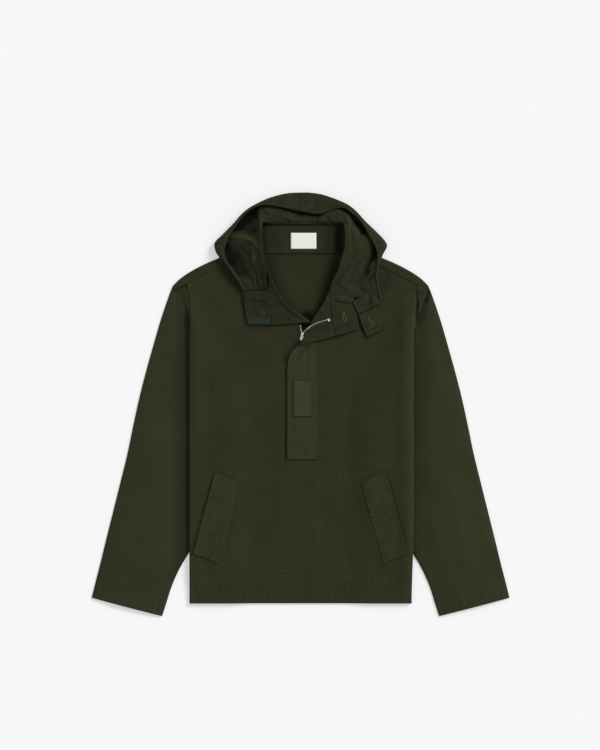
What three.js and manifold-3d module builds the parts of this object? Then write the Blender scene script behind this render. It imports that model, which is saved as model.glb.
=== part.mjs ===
// Hooded anorak smock lying flat on its back, sleeves folded in under the body.
// Units are millimetres. +X is the wearer's left, +Y runs up to the hood, +Z faces up off the surface.
import * as THREE from 'three';
import { mergeVertices } from 'three/addons/utils/BufferGeometryUtils.js';
import Module from 'manifold-3d';

const wasm = await Module();
wasm.setup();

// Cloth and seams
const CLOTH = 1.5;
const SEAM_GAP = 0.3;
const LAYER_GAP = 0.7;
const PITCH = CLOTH + LAYER_GAP;

// Body, measured flat with both sides folded behind
const FOLD_X = 222;
const SIDE_SEAM_X = 150;
const HEM_Y = -397;
const UNDERARM_Y = 9;
const TIP_X = 257;
const TIP_Y = 234;
const FRONT_RADIUS = 1.5 * PITCH;
const BACK_RADIUS = 0.5 * PITCH;
const SLEEVE_GAP = 0.4;
const SLOPE_WIDTH = 55;
const SLOPE_REACH = 6;
const SHOULDER_DROP = 0.45;
const SIDES_FOLDED_TO_Y = 150;
const ARMHOLE_TOP_Y = 228;
const SLEEVES_IN_Y = [-385, -310];
const BACK_INSET = { depth: 5, from: [120, 150], until: [185, 212] };
const SLEEVE_STACK = 2 * CLOTH + SLEEVE_GAP + SEAM_GAP;
const ARMHOLE_SLOPE = (TIP_X - SIDE_SEAM_X) / (TIP_Y - UNDERARM_Y);
const BODY_ROWS = [-397, -374, -350, -320, -290, -250, -205, -160, -115, -70, -25, 9, 40, 70, 100,
  122, 138, 150, 156, 162, 178, 195, 212, 228, 240, 252, 266, 281, 292, 300];
const BACK_NECK_Y = 318;
const MAIN_COLUMNS = 7;
const ARC_COLUMNS = 4;
const STRIP_COLUMNS = 2;

// Sleeve crown, placket, labels, neck band and zip
const CROWN = 3.3;
const PLACKET = { left: -27, right: 34, top: 122, bottom: -110, thick: 2 };
const PLACKET_LABEL = { left: -15, right: 21.6, top: 48, bottom: -23.5, thick: 0.7 };
const NECK_LABEL = { left: -19.6, right: 31.4, top: 343, bottom: 311, thick: 0.7 };
const NECK_BAND = { left: -72, right: 82, top: 357, bottom: 302 };
const TAPE = { thick: 0.8, raise: 0.4 };
const WELT = { thick: 1.8, raise: 0.6 };
const TAB_THICK = 2;
const ZIP = { x: 3.4, y: 141, chainWidth: 4.4, chainHeight: 2, chainEnd: -90, slotWidth: 6 };
const CHAIN_TOP = ZIP.y - 4;
const CHAIN_FOOT = ZIP.chainEnd + 2;
const CHAIN_SUNK = 0.2;

const OLIVE = 0x32331f;
const INSIDE = 0x2e2f1e;
const TEAL = 0x35473a;
const CREAM = 0xeae7dc;
const SILVER = 0xc4c0ba;

const garment = new THREE.Group();

function material(colour, roughness = 0.95, metalness = 0) {
  return new THREE.MeshStandardMaterial({ color: colour, roughness, metalness });
}

function addMesh(name, geometry, colour, roughness, metalness, parent = garment) {
  const mesh = new THREE.Mesh(geometry, material(colour, roughness, metalness));
  mesh.name = name;
  parent.add(mesh);
  return mesh;
}

function smooth(low, high, value) {
  const t = Math.min(1, Math.max(0, (value - low) / (high - low)));
  return t * t * (3 - 2 * t);
}

// Value of a two-column table, straight between its rows
function tableValue(table, key, column = 1) {
  let row = 0;
  while (row < table.length - 2 && key > table[row + 1][0]) row += 1;
  const low = table[row];
  const high = table[row + 1];
  const t = Math.min(1, Math.max(0, (key - low[0]) / (high[0] - low[0])));
  return low[column] + (high[column] - low[column]) * t;
}

// A row of a table of stations, smoothly between them, t from 0 to 1
function stationRow(table, t) {
  const place = t * (table.length - 1);
  const index = Math.min(table.length - 2, Math.floor(place));
  const f = place - index;
  const pick = (offset) => table[Math.min(table.length - 1, Math.max(0, index + offset))];
  const [a, b, c, d] = [pick(-1), pick(0), pick(1), pick(2)];
  return b.map((value, k) => {
    const first = (c[k] - a[k]) / 2;
    const second = (d[k] - b[k]) / 2;
    const f2 = f * f;
    const f3 = f2 * f;
    return value * (2 * f3 - 3 * f2 + 1) + first * (f3 - 2 * f2 + f)
      + c[k] * (3 * f2 - 2 * f3) + second * (f3 - f2);
  });
}

function closedGeometry(points, triangles) {
  const geometry = new THREE.BufferGeometry();
  geometry.setAttribute('position', new THREE.Float32BufferAttribute(points.flat(), 3));
  const corner = points.map((p) => new THREE.Vector3(...p));
  let volume = 0;
  for (const [a, b, c] of triangles) volume += corner[a].dot(corner[b].clone().cross(corner[c]));
  const facing = volume < 0 ? triangles.map(([a, b, c]) => [a, c, b]) : triangles;
  geometry.setIndex(facing.flat());
  geometry.computeVertexNormals();
  return geometry;
}

// Closed wall between two grids of points that match row by row
function wallGeometry(upper, lower) {
  const rows = upper.length;
  const columns = upper[0].length;
  const points = [...upper.flat(), ...lower.flat()];
  const half = rows * columns;
  const triangles = [];
  const quad = (a, b, c, d) => triangles.push([a, b, c], [a, c, d]);
  const at = (i, j) => i * columns + j;
  for (let i = 0; i < rows - 1; i += 1) {
    for (let j = 0; j < columns - 1; j += 1) {
      quad(at(i, j), at(i, j + 1), at(i + 1, j + 1), at(i + 1, j));
      quad(half + at(i, j), half + at(i + 1, j), half + at(i + 1, j + 1), half + at(i, j + 1));
    }
    const last = columns - 1;
    quad(at(i, 0), at(i + 1, 0), half + at(i + 1, 0), half + at(i, 0));
    quad(at(i + 1, last), at(i, last), half + at(i, last), half + at(i + 1, last));
  }
  for (let j = 0; j < columns - 1; j += 1) {
    const end = rows - 1;
    quad(at(0, j + 1), at(0, j), half + at(0, j), half + at(0, j + 1));
    quad(at(end, j), at(end, j + 1), half + at(end, j + 1), half + at(end, j));
  }
  return closedGeometry(points, triangles);
}

// Grid of middle points given half a cloth to each side, along its own normals
function clothWall(grid, thick = CLOTH) {
  const rows = grid.length;
  const columns = grid[0].length;
  const point = (i, j) => new THREE.Vector3(...grid[i][j]);
  const normals = grid.map((row, i) => row.map((_, j) => {
    const along = point(i, Math.min(columns - 1, j + 1)).sub(point(i, Math.max(0, j - 1)));
    const across = point(Math.min(rows - 1, i + 1), j).sub(point(Math.max(0, i - 1), j));
    return along.cross(across).normalize();
  }));
  const up = Math.sign(normals.flat().reduce((sum, normal) => sum + normal.z, 0)) || 1;
  const side = (sign) => grid.map((row, i) => row.map((_, j) => {
    const moved = point(i, j).addScaledVector(normals[i][j], sign * up * thick / 2);
    return [moved.x, moved.y, Math.max(0, moved.z)];
  }));
  return { upper: side(1), lower: side(-1) };
}

// Height of a grid's surface above a point of the plan, the highest where it lies on itself
function heightAt(grid, x, y) {
  let height = -Infinity;
  const test = (a, b, c) => {
    const area = (b[0] - a[0]) * (c[1] - a[1]) - (c[0] - a[0]) * (b[1] - a[1]);
    if (Math.abs(area) < 1e-9) return;
    const v = ((x - a[0]) * (c[1] - a[1]) - (c[0] - a[0]) * (y - a[1])) / area;
    const w = ((b[0] - a[0]) * (y - a[1]) - (x - a[0]) * (b[1] - a[1])) / area;
    if (v < -1e-6 || w < -1e-6 || v + w > 1.000001) return;
    height = Math.max(height, a[2] + v * (b[2] - a[2]) + w * (c[2] - a[2]));
  };
  for (let i = 0; i < grid.length - 1; i += 1) {
    for (let j = 0; j < grid[0].length - 1; j += 1) {
      test(grid[i][j], grid[i][j + 1], grid[i + 1][j + 1]);
      test(grid[i][j], grid[i + 1][j + 1], grid[i + 1][j]);
    }
  }
  return height;
}

// Flat piece sewn on other grids: plan corners, raised off the highest surface beneath
function sewnOn(corners, rows, columns, beneath, thick, raise = SEAM_GAP) {
  const [a, b, c, d] = corners;
  const mix = (p, q, t) => [p[0] + (q[0] - p[0]) * t, p[1] + (q[1] - p[1]) * t];
  const grid = [];
  for (let i = 0; i <= rows; i += 1) {
    const row = [];
    for (let j = 0; j <= columns; j += 1) {
      const [x, y] = mix(mix(a, b, j / columns), mix(d, c, j / columns), i / rows);
      const below = Math.max(...beneath.map((under) => heightAt(under, x, y)));
      row.push([x, y, below + raise]);
    }
    grid.push(row);
  }
  const upper = grid.map((row) => row.map(([x, y, z]) => [x, y, z + thick]));
  return { upper, lower: grid };
}

function toManifold(geometry) {
  const bare = geometry.clone();
  bare.deleteAttribute('normal');
  bare.deleteAttribute('uv');
  const merged = mergeVertices(bare, 1e-4);
  const vertProperties = new Float32Array(merged.attributes.position.array);
  const triVerts = new Uint32Array(merged.index.array);
  return new wasm.Manifold(new wasm.Mesh({ numProp: 3, vertProperties, triVerts }));
}

function fromManifold(solid) {
  const mesh = solid.getMesh();
  const geometry = new THREE.BufferGeometry();
  geometry.setAttribute('position', new THREE.BufferAttribute(new Float32Array(mesh.vertProperties), 3));
  geometry.setIndex(new THREE.BufferAttribute(new Uint32Array(mesh.triVerts), 1));
  geometry.computeVertexNormals();
  return geometry;
}

function upright(points, low, high) {
  const outline = new THREE.Shape(points.map(([x, y]) => new THREE.Vector2(x, y)));
  const geometry = new THREE.ExtrudeGeometry(outline, { depth: high - low, bevelEnabled: false });
  geometry.translate(0, 0, low);
  return geometry;
}

// Height of the layers: flat in the middle, raised over the folded sides and the sleeves under them
function sleeveUnder(y) {
  return SLEEVE_STACK * smooth(...SLEEVES_IN_Y, y);
}

function armholeX(y) {
  return SIDE_SEAM_X + (y - UNDERARM_Y) * ARMHOLE_SLOPE;
}

function bodyLift(x, y) {
  const length = Math.hypot(1, ARMHOLE_SLOPE);
  const past = (Math.abs(x) - armholeX(y)) / length;
  const inside = Math.min(Math.abs(x) - SIDE_SEAM_X + SLOPE_REACH, past);
  const fade = 1 - SHOULDER_DROP * smooth(SIDES_FOLDED_TO_Y, TIP_Y, y);
  return (sleeveUnder(y) + 2 * PITCH) * smooth(-SLOPE_WIDTH, 0, inside) * fade;
}

// Half width of a body row above the underarm: the armhole, then the forward shoulder seam
const SHOULDER_ROWS = [
  // y, half width
  [228, 254.2], [240, 233], [252, 210.5], [266, 183], [281, 153], [292, 130], [300, 113], [318, 92],
];

// How far the plain part of a row stops short of its edge, and how its fold spreads above the folded sides
const EDGE_ROOM = { armhole: 4, shoulder: 12, strip: 2 };
const FOLD_SPREAD = 0.12;

// Points of one panel row from the middle out to its side edge
function bodyHalfRow(y, radius, mainZ, stripZ, edgeInset) {
  const wrapped = y <= SIDES_FOLDED_TO_Y;
  const underShoulder = y < ARMHOLE_TOP_Y;
  const start = FOLD_X - FRONT_RADIUS - CLOTH / 2;
  const full = underShoulder ? armholeX(Math.max(y, UNDERARM_Y)) : tableValue(SHOULDER_ROWS, y);
  const end = full - edgeInset;
  const spread = start + (y - SIDES_FOLDED_TO_Y) * FOLD_SPREAD;
  const open = Math.min(end - EDGE_ROOM.armhole, underShoulder ? spread : end - EDGE_ROOM.shoulder);
  const foldX = wrapped ? start : open;
  const row = [];
  for (let k = 0; k < MAIN_COLUMNS; k += 1) {
    const x = foldX * (k / MAIN_COLUMNS);
    row.push([x, y, mainZ(x, y)]);
  }
  const edge = mainZ(foldX, y);
  if (wrapped) {
    for (let k = 0; k <= ARC_COLUMNS; k += 1) {
      const angle = Math.PI * k / ARC_COLUMNS;
      row.push([foldX + radius * Math.sin(angle), y, edge - radius + radius * Math.cos(angle)]);
    }
    for (let k = 1; k <= STRIP_COLUMNS; k += 1) {
      const x = foldX + (Math.min(end, foldX - EDGE_ROOM.strip) - foldX) * k / STRIP_COLUMNS;
      row.push([x, y, edge - 2 * radius]);
    }
    return row;
  }
  const low = y < TIP_Y ? stripZ : mainZ(end, y);
  const count = ARC_COLUMNS + STRIP_COLUMNS;
  for (let k = 0; k <= count; k += 1) {
    const t = k / count;
    const x = foldX + (end - foldX) * t;
    row.push([x, y, edge + (low - edge) * smooth(0, 1, t)]);
  }
  return row;
}

function bodyPanel(rows, radius, mainZ, stripZ, edgeInset) {
  return rows.map((y) => {
    const half = bodyHalfRow(y, radius, mainZ, stripZ, edgeInset(y));
    const other = half.slice(1).reverse().map(([x, yy, z]) => [-x, yy, z]);
    return [...other, ...half];
  });
}

const backZ = (x, y) => bodyLift(x, y) + CLOTH / 2;
const frontZ = (x, y) => bodyLift(x, y) + PITCH + CLOTH / 2;

const frontGrid = bodyPanel(BODY_ROWS, FRONT_RADIUS, frontZ, SLEEVE_STACK + CLOTH / 2, () => 0);
const frontWall = clothWall(frontGrid);
const backInset = (y) => {
  const { depth, from, until } = BACK_INSET;
  return depth * smooth(...from, y) * (1 - smooth(...until, y));
};
const backGrid = bodyPanel([...BODY_ROWS, BACK_NECK_Y], BACK_RADIUS, backZ, CLOTH, backInset);
const backWall = clothWall(backGrid);

// Neck edge of the front, round the head opening, with the slit for the zip
const NECK_CUT = [
  [-77, 330], [-76, 316], [-71.5, 282], [-65, 267], [-52, 238], [-33.5, 207], [-14, 188], [-2, 178],
  [-3, 158], [0, 140], [ZIP.x - ZIP.slotWidth / 2, ZIP.chainEnd], [ZIP.x + ZIP.slotWidth / 2, ZIP.chainEnd],
  [6.8, 140], [12, 152], [23, 167],
  [31, 181.5], [43.5, 198], [56.5, 223.5], [63, 245], [74.5, 265.5], [79.5, 296], [85, 330],
];
const CUT_LOW = -1;
const CUT_HIGH = 40;
const neckTool = toManifold(upright(NECK_CUT, CUT_LOW, CUT_HIGH));
const frontSolid = toManifold(wallGeometry(frontWall.upper, frontWall.lower)).subtract(neckTool);
addMesh('front_body', fromManifold(frontSolid), OLIVE);
addMesh('back_body', wallGeometry(backWall.upper, backWall.lower), INSIDE);

// Shoulder strips: back cloth brought over the shoulder fold to the forward seam
const SHOULDER = [
  // seam x, seam y, fold x, fold y
  [252, 231, 256.5, 236], [233, 240.6, 240, 252], [210, 253, 218, 267], [183, 266.7, 189, 282],
  [153, 281.7, 160, 294.5],
];
const SHOULDER_STATIONS = 12;
const SHOULDER_START = 0.4;
const SHOULDER_SHARE = 0.6;

function shoulderStrip(side) {
  const grid = [];
  for (let i = 0; i <= SHOULDER_STATIONS; i += 1) {
    const [sx, sy, fx, fy] = stationRow(SHOULDER, i / SHOULDER_STATIONS);
    const top = frontZ(sx, sy);
    const low = CLOTH / 2;
    const radius = (top - low) / 2;
    const length = Math.hypot(fx - sx, fy - sy);
    const direction = [(fx - sx) / length, (fy - sy) / length];
    const reach = length - radius - CLOTH / 2;
    const place = (distance, z) => [side * (sx + direction[0] * distance), sy + direction[1] * distance, z];
    const row = [place(SHOULDER_START, top), place(reach * SHOULDER_SHARE, top)];
    for (let k = 0; k <= ARC_COLUMNS; k += 1) {
      const angle = Math.PI * k / ARC_COLUMNS;
      row.push(place(reach + radius * Math.sin(angle), low + radius + radius * Math.cos(angle)));
    }
    row.push(place(reach * SHOULDER_SHARE, low));
    grid.push(row);
  }
  return clothWall(grid);
}
for (const [name, side] of [['back_shoulder_right', -1], ['back_shoulder_left', 1]]) {
  const wall = shoulderStrip(side);
  addMesh(name, wallGeometry(wall.upper, wall.lower), OLIVE);
}

// Sleeves: outer and inner edge of the flat sleeve from the armhole to the cuff
const SLEEVE = [
  // outer x, outer y, inner x, inner y
  [257.4, 233.6, 150.6, 9], [278.5, 172, 144, -55], [298, 105, 149, -110], [311, 58, 161, -157],
  [323, 10, 176, -200], [335, -45, 193, -240], [346, -98, 209, -271], [360, -155, 224, -298],
  [374, -211, 238, -321], [388, -267, 250, -345], [401, -320, 260, -370], [410, -355, 268, -396],
  [417.7, -386, 276.6, -422.85],
];
const ACROSS = [0.02, 0.07, 0.2, 0.36, 0.47, 0.62, 0.8, 0.93, 0.98];
const SLEEVE_STATIONS = 16;
const FLAT_TOP = 2 * CLOTH + SLEEVE_GAP;
const CROWN_CLEAR = [16, 40];
const CROWN_BELOW = [-330, -300];
const CROWN_BOW = 0.7;
const LIP_SHARE = 0.06;
const LIP_HEIGHT = 0.25;
const EDGE_SHARE = 0.03;
const EDGE_ROUND = 0.35;
const HOLLOW = 0.08;

function sleeveTop(x, y, across, along) {
  const bow = Math.pow(Math.sin(Math.PI * across), CROWN_BOW);
  const clear = smooth(FOLD_X + CROWN_CLEAR[0], FOLD_X + CROWN_CLEAR[1], x);
  const low = smooth(...CROWN_BELOW, y);
  const shown = clear * low + (1 - low);
  const lipped = smooth(0, LIP_SHARE, along) * (1 - LIP_HEIGHT) + LIP_HEIGHT;
  return FLAT_TOP + CROWN * bow * shown * lipped;
}

function edgeRound(across) {
  return across < EDGE_SHARE || across > 1 - EDGE_SHARE ? EDGE_ROUND : 0;
}

function sleeveRings(side) {
  const outer = [];
  const inner = [];
  for (let i = 0; i <= SLEEVE_STATIONS; i += 1) {
    const along = i / SLEEVE_STATIONS;
    const [ox, oy, ix, iy] = stationRow(SLEEVE, along);
    const width = Math.hypot(ox - ix, oy - iy);
    const place = (across, z) => [side * (ix + (ox - ix) * across), iy + (oy - iy) * across, z];
    const inset = CLOTH / width;
    const outerRing = [place(0, FLAT_TOP / 2)];
    const innerRing = [place(inset, FLAT_TOP / 2)];
    for (const across of ACROSS) {
      const x = ix + (ox - ix) * across;
      const top = sleeveTop(x, iy + (oy - iy) * across, across, along) - edgeRound(across);
      const innerAcross = inset + (1 - 2 * inset) * across;
      outerRing.push(place(across, top));
      innerRing.push(place(innerAcross, Math.max(top - CLOTH, FLAT_TOP / 2 + HOLLOW)));
    }
    outerRing.push(place(1, FLAT_TOP / 2));
    innerRing.push(place(1 - inset, FLAT_TOP / 2));
    for (const across of [...ACROSS].reverse()) {
      outerRing.push(place(across, edgeRound(across)));
      innerRing.push(place(inset + (1 - 2 * inset) * across, FLAT_TOP / 2 - HOLLOW));
    }
    outer.push(outerRing);
    inner.push(innerRing);
  }
  return { outer, inner };
}

function tubeGeometry({ outer, inner }) {
  const stations = outer.length;
  const around = outer[0].length;
  const points = [...outer.flat(), ...inner.flat()];
  const half = stations * around;
  const triangles = [];
  const quad = (a, b, c, d) => triangles.push([a, b, c], [a, c, d]);
  const at = (i, j) => i * around + (j % around);
  for (let j = 0; j < around; j += 1) {
    for (let i = 0; i < stations - 1; i += 1) {
      quad(at(i, j), at(i, j + 1), at(i + 1, j + 1), at(i + 1, j));
      quad(half + at(i, j), half + at(i + 1, j), half + at(i + 1, j + 1), half + at(i, j + 1));
    }
    const end = stations - 1;
    quad(at(0, j + 1), at(0, j), half + at(0, j), half + at(0, j + 1));
    quad(at(end, j), at(end, j + 1), half + at(end, j + 1), half + at(end, j));
  }
  return closedGeometry(points, triangles);
}
addMesh('sleeve_right', tubeGeometry(sleeveRings(-1)), OLIVE);
addMesh('sleeve_left', tubeGeometry(sleeveRings(1)), OLIVE);

// Hood halves: from the neck edge out over the inside of the hood, round the outline and back to the rim.
// n is the neck edge, z1 to z4 the inside from there outwards, o the outline, m the rim's inner edge.
const HOOD_RIGHT = [
  // nx, ny, nz, z1, z2, z3, z4, ox, oy, oz, mx, my, mz
  [13.8, 360, 7, 8, 6, 4, 1, 13.8, 422.9, 7, 13.8, 382.5, 12],
  [-20, 360.5, 7, 9, 8, 5, 1, -24.6, 421.7, 7, -24, 390.5, 13],
  [-55, 361, 9, 12, 12, 8, 1, -60, 413.5, 8, -60, 397, 16],
  [-74, 363, 20, 20, 15, 9, 2, -90, 400, 10, -83, 396, 19],
  [-77, 350, 26, 24, 14, 5, 2, -113, 385, 10, -110, 380, 20],
  [-78, 338, 27, 24, 12, 4, 2, -135, 360.5, 10, -127, 358, 20],
  [-77, 322, 28, 24, 16, 12, 2, -157, 338, 10, -140, 339, 20],
  [-75, 305, 28, 23, 15, 7, 3, -171, 323, 10, -148, 322, 20],
  [-72.5, 290, 27, 22, 14, 7, 5, -170, 307, 11, -152, 304, 20],
  [-70, 276, 27, 21, 13, 8, 7, -161, 292.5, 12, -149, 290, 19],
  [-68.5, 262, 26, 19, 13, 9, 9, -147, 277, 14, -142, 275, 18],
  [-67.5, 245, 24, 17, 12, 10, 10, -130, 253, 14, -126, 252, 17],
  [-66.4, 229, 21, 15, 11, 9, 9, -115, 228.5, 11, -112, 228, 13],
];
const HOOD_LEFT = [
  // nx, ny, nz, z1, z2, z3, z4, ox, oy, oz, mx, my, mz
  [14.4, 360, 7, 8, 6, 4, 1, 14.4, 422.9, 7, 14.4, 382.5, 12],
  [40, 360, 7, 10, 9, 6, 1, 39, 419.7, 7, 38, 380, 13],
  [66, 360.5, 9, 13, 13, 8, 1, 64.6, 412, 8, 62, 388, 15],
  [84, 361, 20, 20, 18, 10, 2, 92, 400.5, 9, 86, 391.5, 20],
  [87, 352, 26, 25, 22, 12, 2, 110, 387, 10, 103, 380, 20],
  [88, 340, 27, 26, 23, 12, 2, 130, 365.5, 10, 121, 362.5, 20],
  [87.5, 326, 28, 27, 24, 13, 2, 150, 346, 10, 134, 341, 20],
  [86.5, 312, 28, 27, 23, 13, 3, 168, 326.5, 10, 142, 327, 20],
  [84, 302, 28, 26, 22, 12, 5, 172, 315, 11, 148, 315, 20],
  [80, 288, 27, 25, 21, 11, 8, 164, 299, 12, 153, 299, 18],
  [75, 270, 26, 24, 20, 10, 11, 157, 278, 13, 153, 278, 15],
  [66, 252, 25, 23, 19, 10, 11, 154.5, 254, 12, 151, 254, 14],
  [60, 238, 23, 21, 18, 11, 11, 157, 234, 11, 154, 234, 13],
  [57, 226, 21, 18, 15, 11, 10, 162, 212, 10, 159, 212, 12],
];
const INSIDE_AT = [0.1, 0.36, 0.66, 0.9];
const NECK_FLANK = 3.5;
const NECK_FOOT = 4.7;
const NECK_ROUND = 0.8;
const OUTLINE_UNDER = 1.6;
const OUTLINE_EDGE = 0.8;
const OUTLINE_OVER = 1.8;

function hoodGrid(table, rows) {
  const grid = [];
  for (let i = 0; i <= rows; i += 1) {
    const [nx, ny, nz, z1, z2, z3, z4, ox, oy, oz, mx, my, mz] = stationRow(table, i / rows);
    const length = Math.hypot(ox - nx, oy - ny);
    const out = [(ox - nx) / length, (oy - ny) / length];
    const foot = [nx + out[0] * NECK_FLANK, ny + out[1] * NECK_FLANK];
    const row = [[...foot, NECK_FOOT]];
    row.push([nx + out[0], ny + out[1], (NECK_FOOT + nz) / 2]);
    row.push([nx + out[0] * NECK_ROUND, ny + out[1] * NECK_ROUND, nz]);
    const levels = [z1, z2, z3, z4];
    for (let k = 0; k < levels.length; k += 1) {
      row.push([nx + (ox - nx) * INSIDE_AT[k], ny + (oy - ny) * INSIDE_AT[k], levels[k]]);
    }
    row.push([ox - out[0] * OUTLINE_UNDER, oy - out[1] * OUTLINE_UNDER, z4 + (oz - z4) * 0.4]);
    row.push([ox - out[0] * OUTLINE_EDGE, oy - out[1] * OUTLINE_EDGE, oz]);
    row.push([ox - out[0] * OUTLINE_OVER, oy - out[1] * OUTLINE_OVER, oz + (mz - oz) * 0.55]);
    row.push([ox + (mx - ox) * 0.45, oy + (my - oy) * 0.45, mz - 0.5]);
    row.push([mx, my, mz]);
    grid.push(row);
  }
  return grid;
}
const hoodRightWall = clothWall(hoodGrid(HOOD_RIGHT, 24));
const hoodLeftWall = clothWall(hoodGrid(HOOD_LEFT, 26));
addMesh('hood_right', wallGeometry(hoodRightWall.upper, hoodRightWall.lower), OLIVE);
addMesh('hood_left', wallGeometry(hoodLeftWall.upper, hoodLeftWall.lower), OLIVE);

// Back neck band inside the hood, and the bare label on it
const BAND_ROWS = 6;
const BAND_COLUMNS = 12;
const bandGrid = [];
for (let i = 0; i <= BAND_ROWS; i += 1) {
  const y = NECK_BAND.bottom + (NECK_BAND.top - NECK_BAND.bottom) * i / BAND_ROWS;
  const row = [];
  for (let j = 0; j <= BAND_COLUMNS; j += 1) {
    const x = NECK_BAND.left + (NECK_BAND.right - NECK_BAND.left) * j / BAND_COLUMNS;
    row.push([x, y, 1.5 * CLOTH + SEAM_GAP]);
  }
  bandGrid.push(row);
}
const bandWall = clothWall(bandGrid);
addMesh('back_neck_band', wallGeometry(bandWall.upper, bandWall.lower), INSIDE);

function rectangle({ left, right, top, bottom }) {
  return [[left, bottom], [right, bottom], [right, top], [left, top]];
}
const neckLabel = sewnOn(rectangle(NECK_LABEL), 2, 3, [bandWall.upper], NECK_LABEL.thick);
addMesh('neck_label', wallGeometry(neckLabel.upper, neckLabel.lower), CREAM, 0.8);

// Placket flap on the front, and the bare label on it
const placket = sewnOn(rectangle(PLACKET), 12, 6, [frontWall.upper], PLACKET.thick);
addMesh('placket_flap', wallGeometry(placket.upper, placket.lower), OLIVE);
const placketLabel = sewnOn(rectangle(PLACKET_LABEL), 4, 3, [placket.upper], PLACKET_LABEL.thick);
addMesh('placket_label', wallGeometry(placketLabel.upper, placketLabel.lower), OLIVE, 0.8);

// Turned-out collar pieces: n is the edge at the neck with its foot, s the edge away from it.
// The middle heights z1 and z2 lie a third and two thirds of the way from n to s.
const FACING_RIGHT = [
  // nx, ny, nz, z1, z2, sx, sy, sz
  [-65.6, 266, 25, 24.5, 24, -67.6, 264.5, 23.5],
  [-62, 258, 24, 23, 22, -66.8, 256, 21],
  [-56, 246, 22, 21, 19.5, -66, 243, 18],
  [-45.5, 227, 20, 18.5, 17, -65.2, 228, 15.5],
  [-33, 207, 18, 16, 14.5, -63.4, 210, 13.2],
  [-14, 188, 15, 13, 11.5, -60.6, 190, 10.8],
  [5, 176.5, 12.5, 10.4, 9.4, -58.4, 173.5, 9.2],
  [18.6, 166.6, 10, 8.4, 7.8, -57, 158.8, 7.8],
];
const COLLAR_RIGHT = [
  // nx, ny, nz, z1, z2, sx, sy, sz
  [-65.8, 227.8, 15.5, 12.5, 11, -113.6, 227, 9.4],
  [-64.9, 219, 14.4, 12, 10.4, -114.4, 215, 8.8],
  [-63.2, 204, 12.6, 11.2, 9.6, -112.6, 203, 8.2],
  [-61, 189, 10.8, 10.2, 8.8, -110.4, 188, 7.6],
  [-58.9, 174, 9.2, 8.8, 8, -108.6, 173, 7],
  [-57.4, 158.8, 7.8, 7.6, 7, -107, 158.5, 6.4],
];
const FACING_LEFT = [
  // nx, ny, nz, z1, z2, sx, sy, sz
  [56.4, 224.6, 20, 19.6, 19.2, 59, 224.2, 18.8],
  [49, 209, 18.6, 18, 17.2, 57.8, 210, 16.8],
  [42.6, 197, 17, 16.4, 15.6, 58, 197, 15],
  [35, 186, 15, 14.6, 13.8, 60, 186, 13.4],
  [29.5, 177, 13, 12.8, 12.2, 62, 174, 12],
  [24, 168.6, 11, 11.2, 11, 64.4, 160, 10.4],
  [17, 157, 10, 10.2, 10, 66.8, 148, 8.8],
  [11.6, 149, 9.6, 9.8, 9.8, 68.6, 137.4, 8],
  [8.2, 141, 9.4, 9.6, 9.4, 45, 130.2, 8.2],
  [4.6, 132, 9.2, 9.5, 9.4, 22, 124, 8.3],
  [-4, 118, 9, 9.3, 9.3, 2, 119, 8.4],
];
const COLLAR_LEFT = [
  // nx, ny, nz, z1, z2, sx, sy, sz
  [59.8, 224.4, 18.6, 17, 15, 110.5, 217.8, 11.6],
  [58.6, 209, 16.6, 16, 14.4, 105, 206, 11.4],
  [58.9, 197, 15, 14.6, 13.4, 107, 196.5, 10.6],
  [60.8, 186, 13.4, 13.2, 12, 110.2, 188, 9.6],
  [62.8, 174, 12, 12, 10.8, 113.4, 178, 8.8],
  [65.2, 160, 10.4, 10.4, 9.6, 115.4, 164, 8],
  [68.4, 148, 8.8, 8.6, 8, 116.8, 155, 7],
  [70.4, 137.8, 8, 7.4, 6.8, 117.4, 149.6, 6],
];
const COLLAR_AT = [0.12, 0.33, 0.66, 1];

// First columns of a facing: their shares of its width where it lies flat, and on the neck flank
const FACING_START = [
  // flat share, most share on the flank, distance on the flank
  [0, 0.3, NECK_FLANK], [0.03, 0.12, 1.4], [0.07, 0.06, NECK_ROUND],
];
const FLANK_EASE = 0.03;

function collarGrid(table, rows, flankRows = 0) {
  const grid = [];
  for (let i = 0; i <= rows; i += 1) {
    const [nx, ny, nz, z1, z2, sx, sy, sz] = stationRow(table, i / rows);
    const row = [];
    const place = (t, z) => [nx + (sx - nx) * t, ny + (sy - ny) * t, z];
    if (flankRows > 0) {
      const length = Math.hypot(sx - nx, sy - ny);
      const turned = 1 - smooth(flankRows - FLANK_EASE, flankRows + FLANK_EASE, i / rows);
      const foot = nz + (NECK_FOOT - nz) * turned;
      const levels = [foot, (foot + nz) / 2, nz];
      FACING_START.forEach(([flat, most, distance], k) => {
        const raised = Math.min(most, distance / length);
        row.push(place(flat + turned * (raised - flat), levels[k]));
      });
    } else {
      row.push(place(0, nz));
    }
    const heights = [nz * 0.98 + 0.02 * z1, z1, z2, sz];
    COLLAR_AT.forEach((at, k) => row.push(place(at, heights[k])));
    grid.push(row);
  }
  return grid;
}
const facingRight = clothWall(collarGrid(FACING_RIGHT, 16, 0.94));
const collarRight = clothWall(collarGrid(COLLAR_RIGHT, 12));
const facingLeft = clothWall(collarGrid(FACING_LEFT, 24, 0.57));
const collarLeft = clothWall(collarGrid(COLLAR_LEFT, 14));
addMesh('neck_facing_right', wallGeometry(facingRight.upper, facingRight.lower), INSIDE);
addMesh('collar_right', wallGeometry(collarRight.upper, collarRight.lower), INSIDE);
addMesh('neck_facing_left', wallGeometry(facingLeft.upper, facingLeft.lower), INSIDE);
addMesh('collar_left', wallGeometry(collarLeft.upper, collarLeft.lower), INSIDE);

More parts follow.
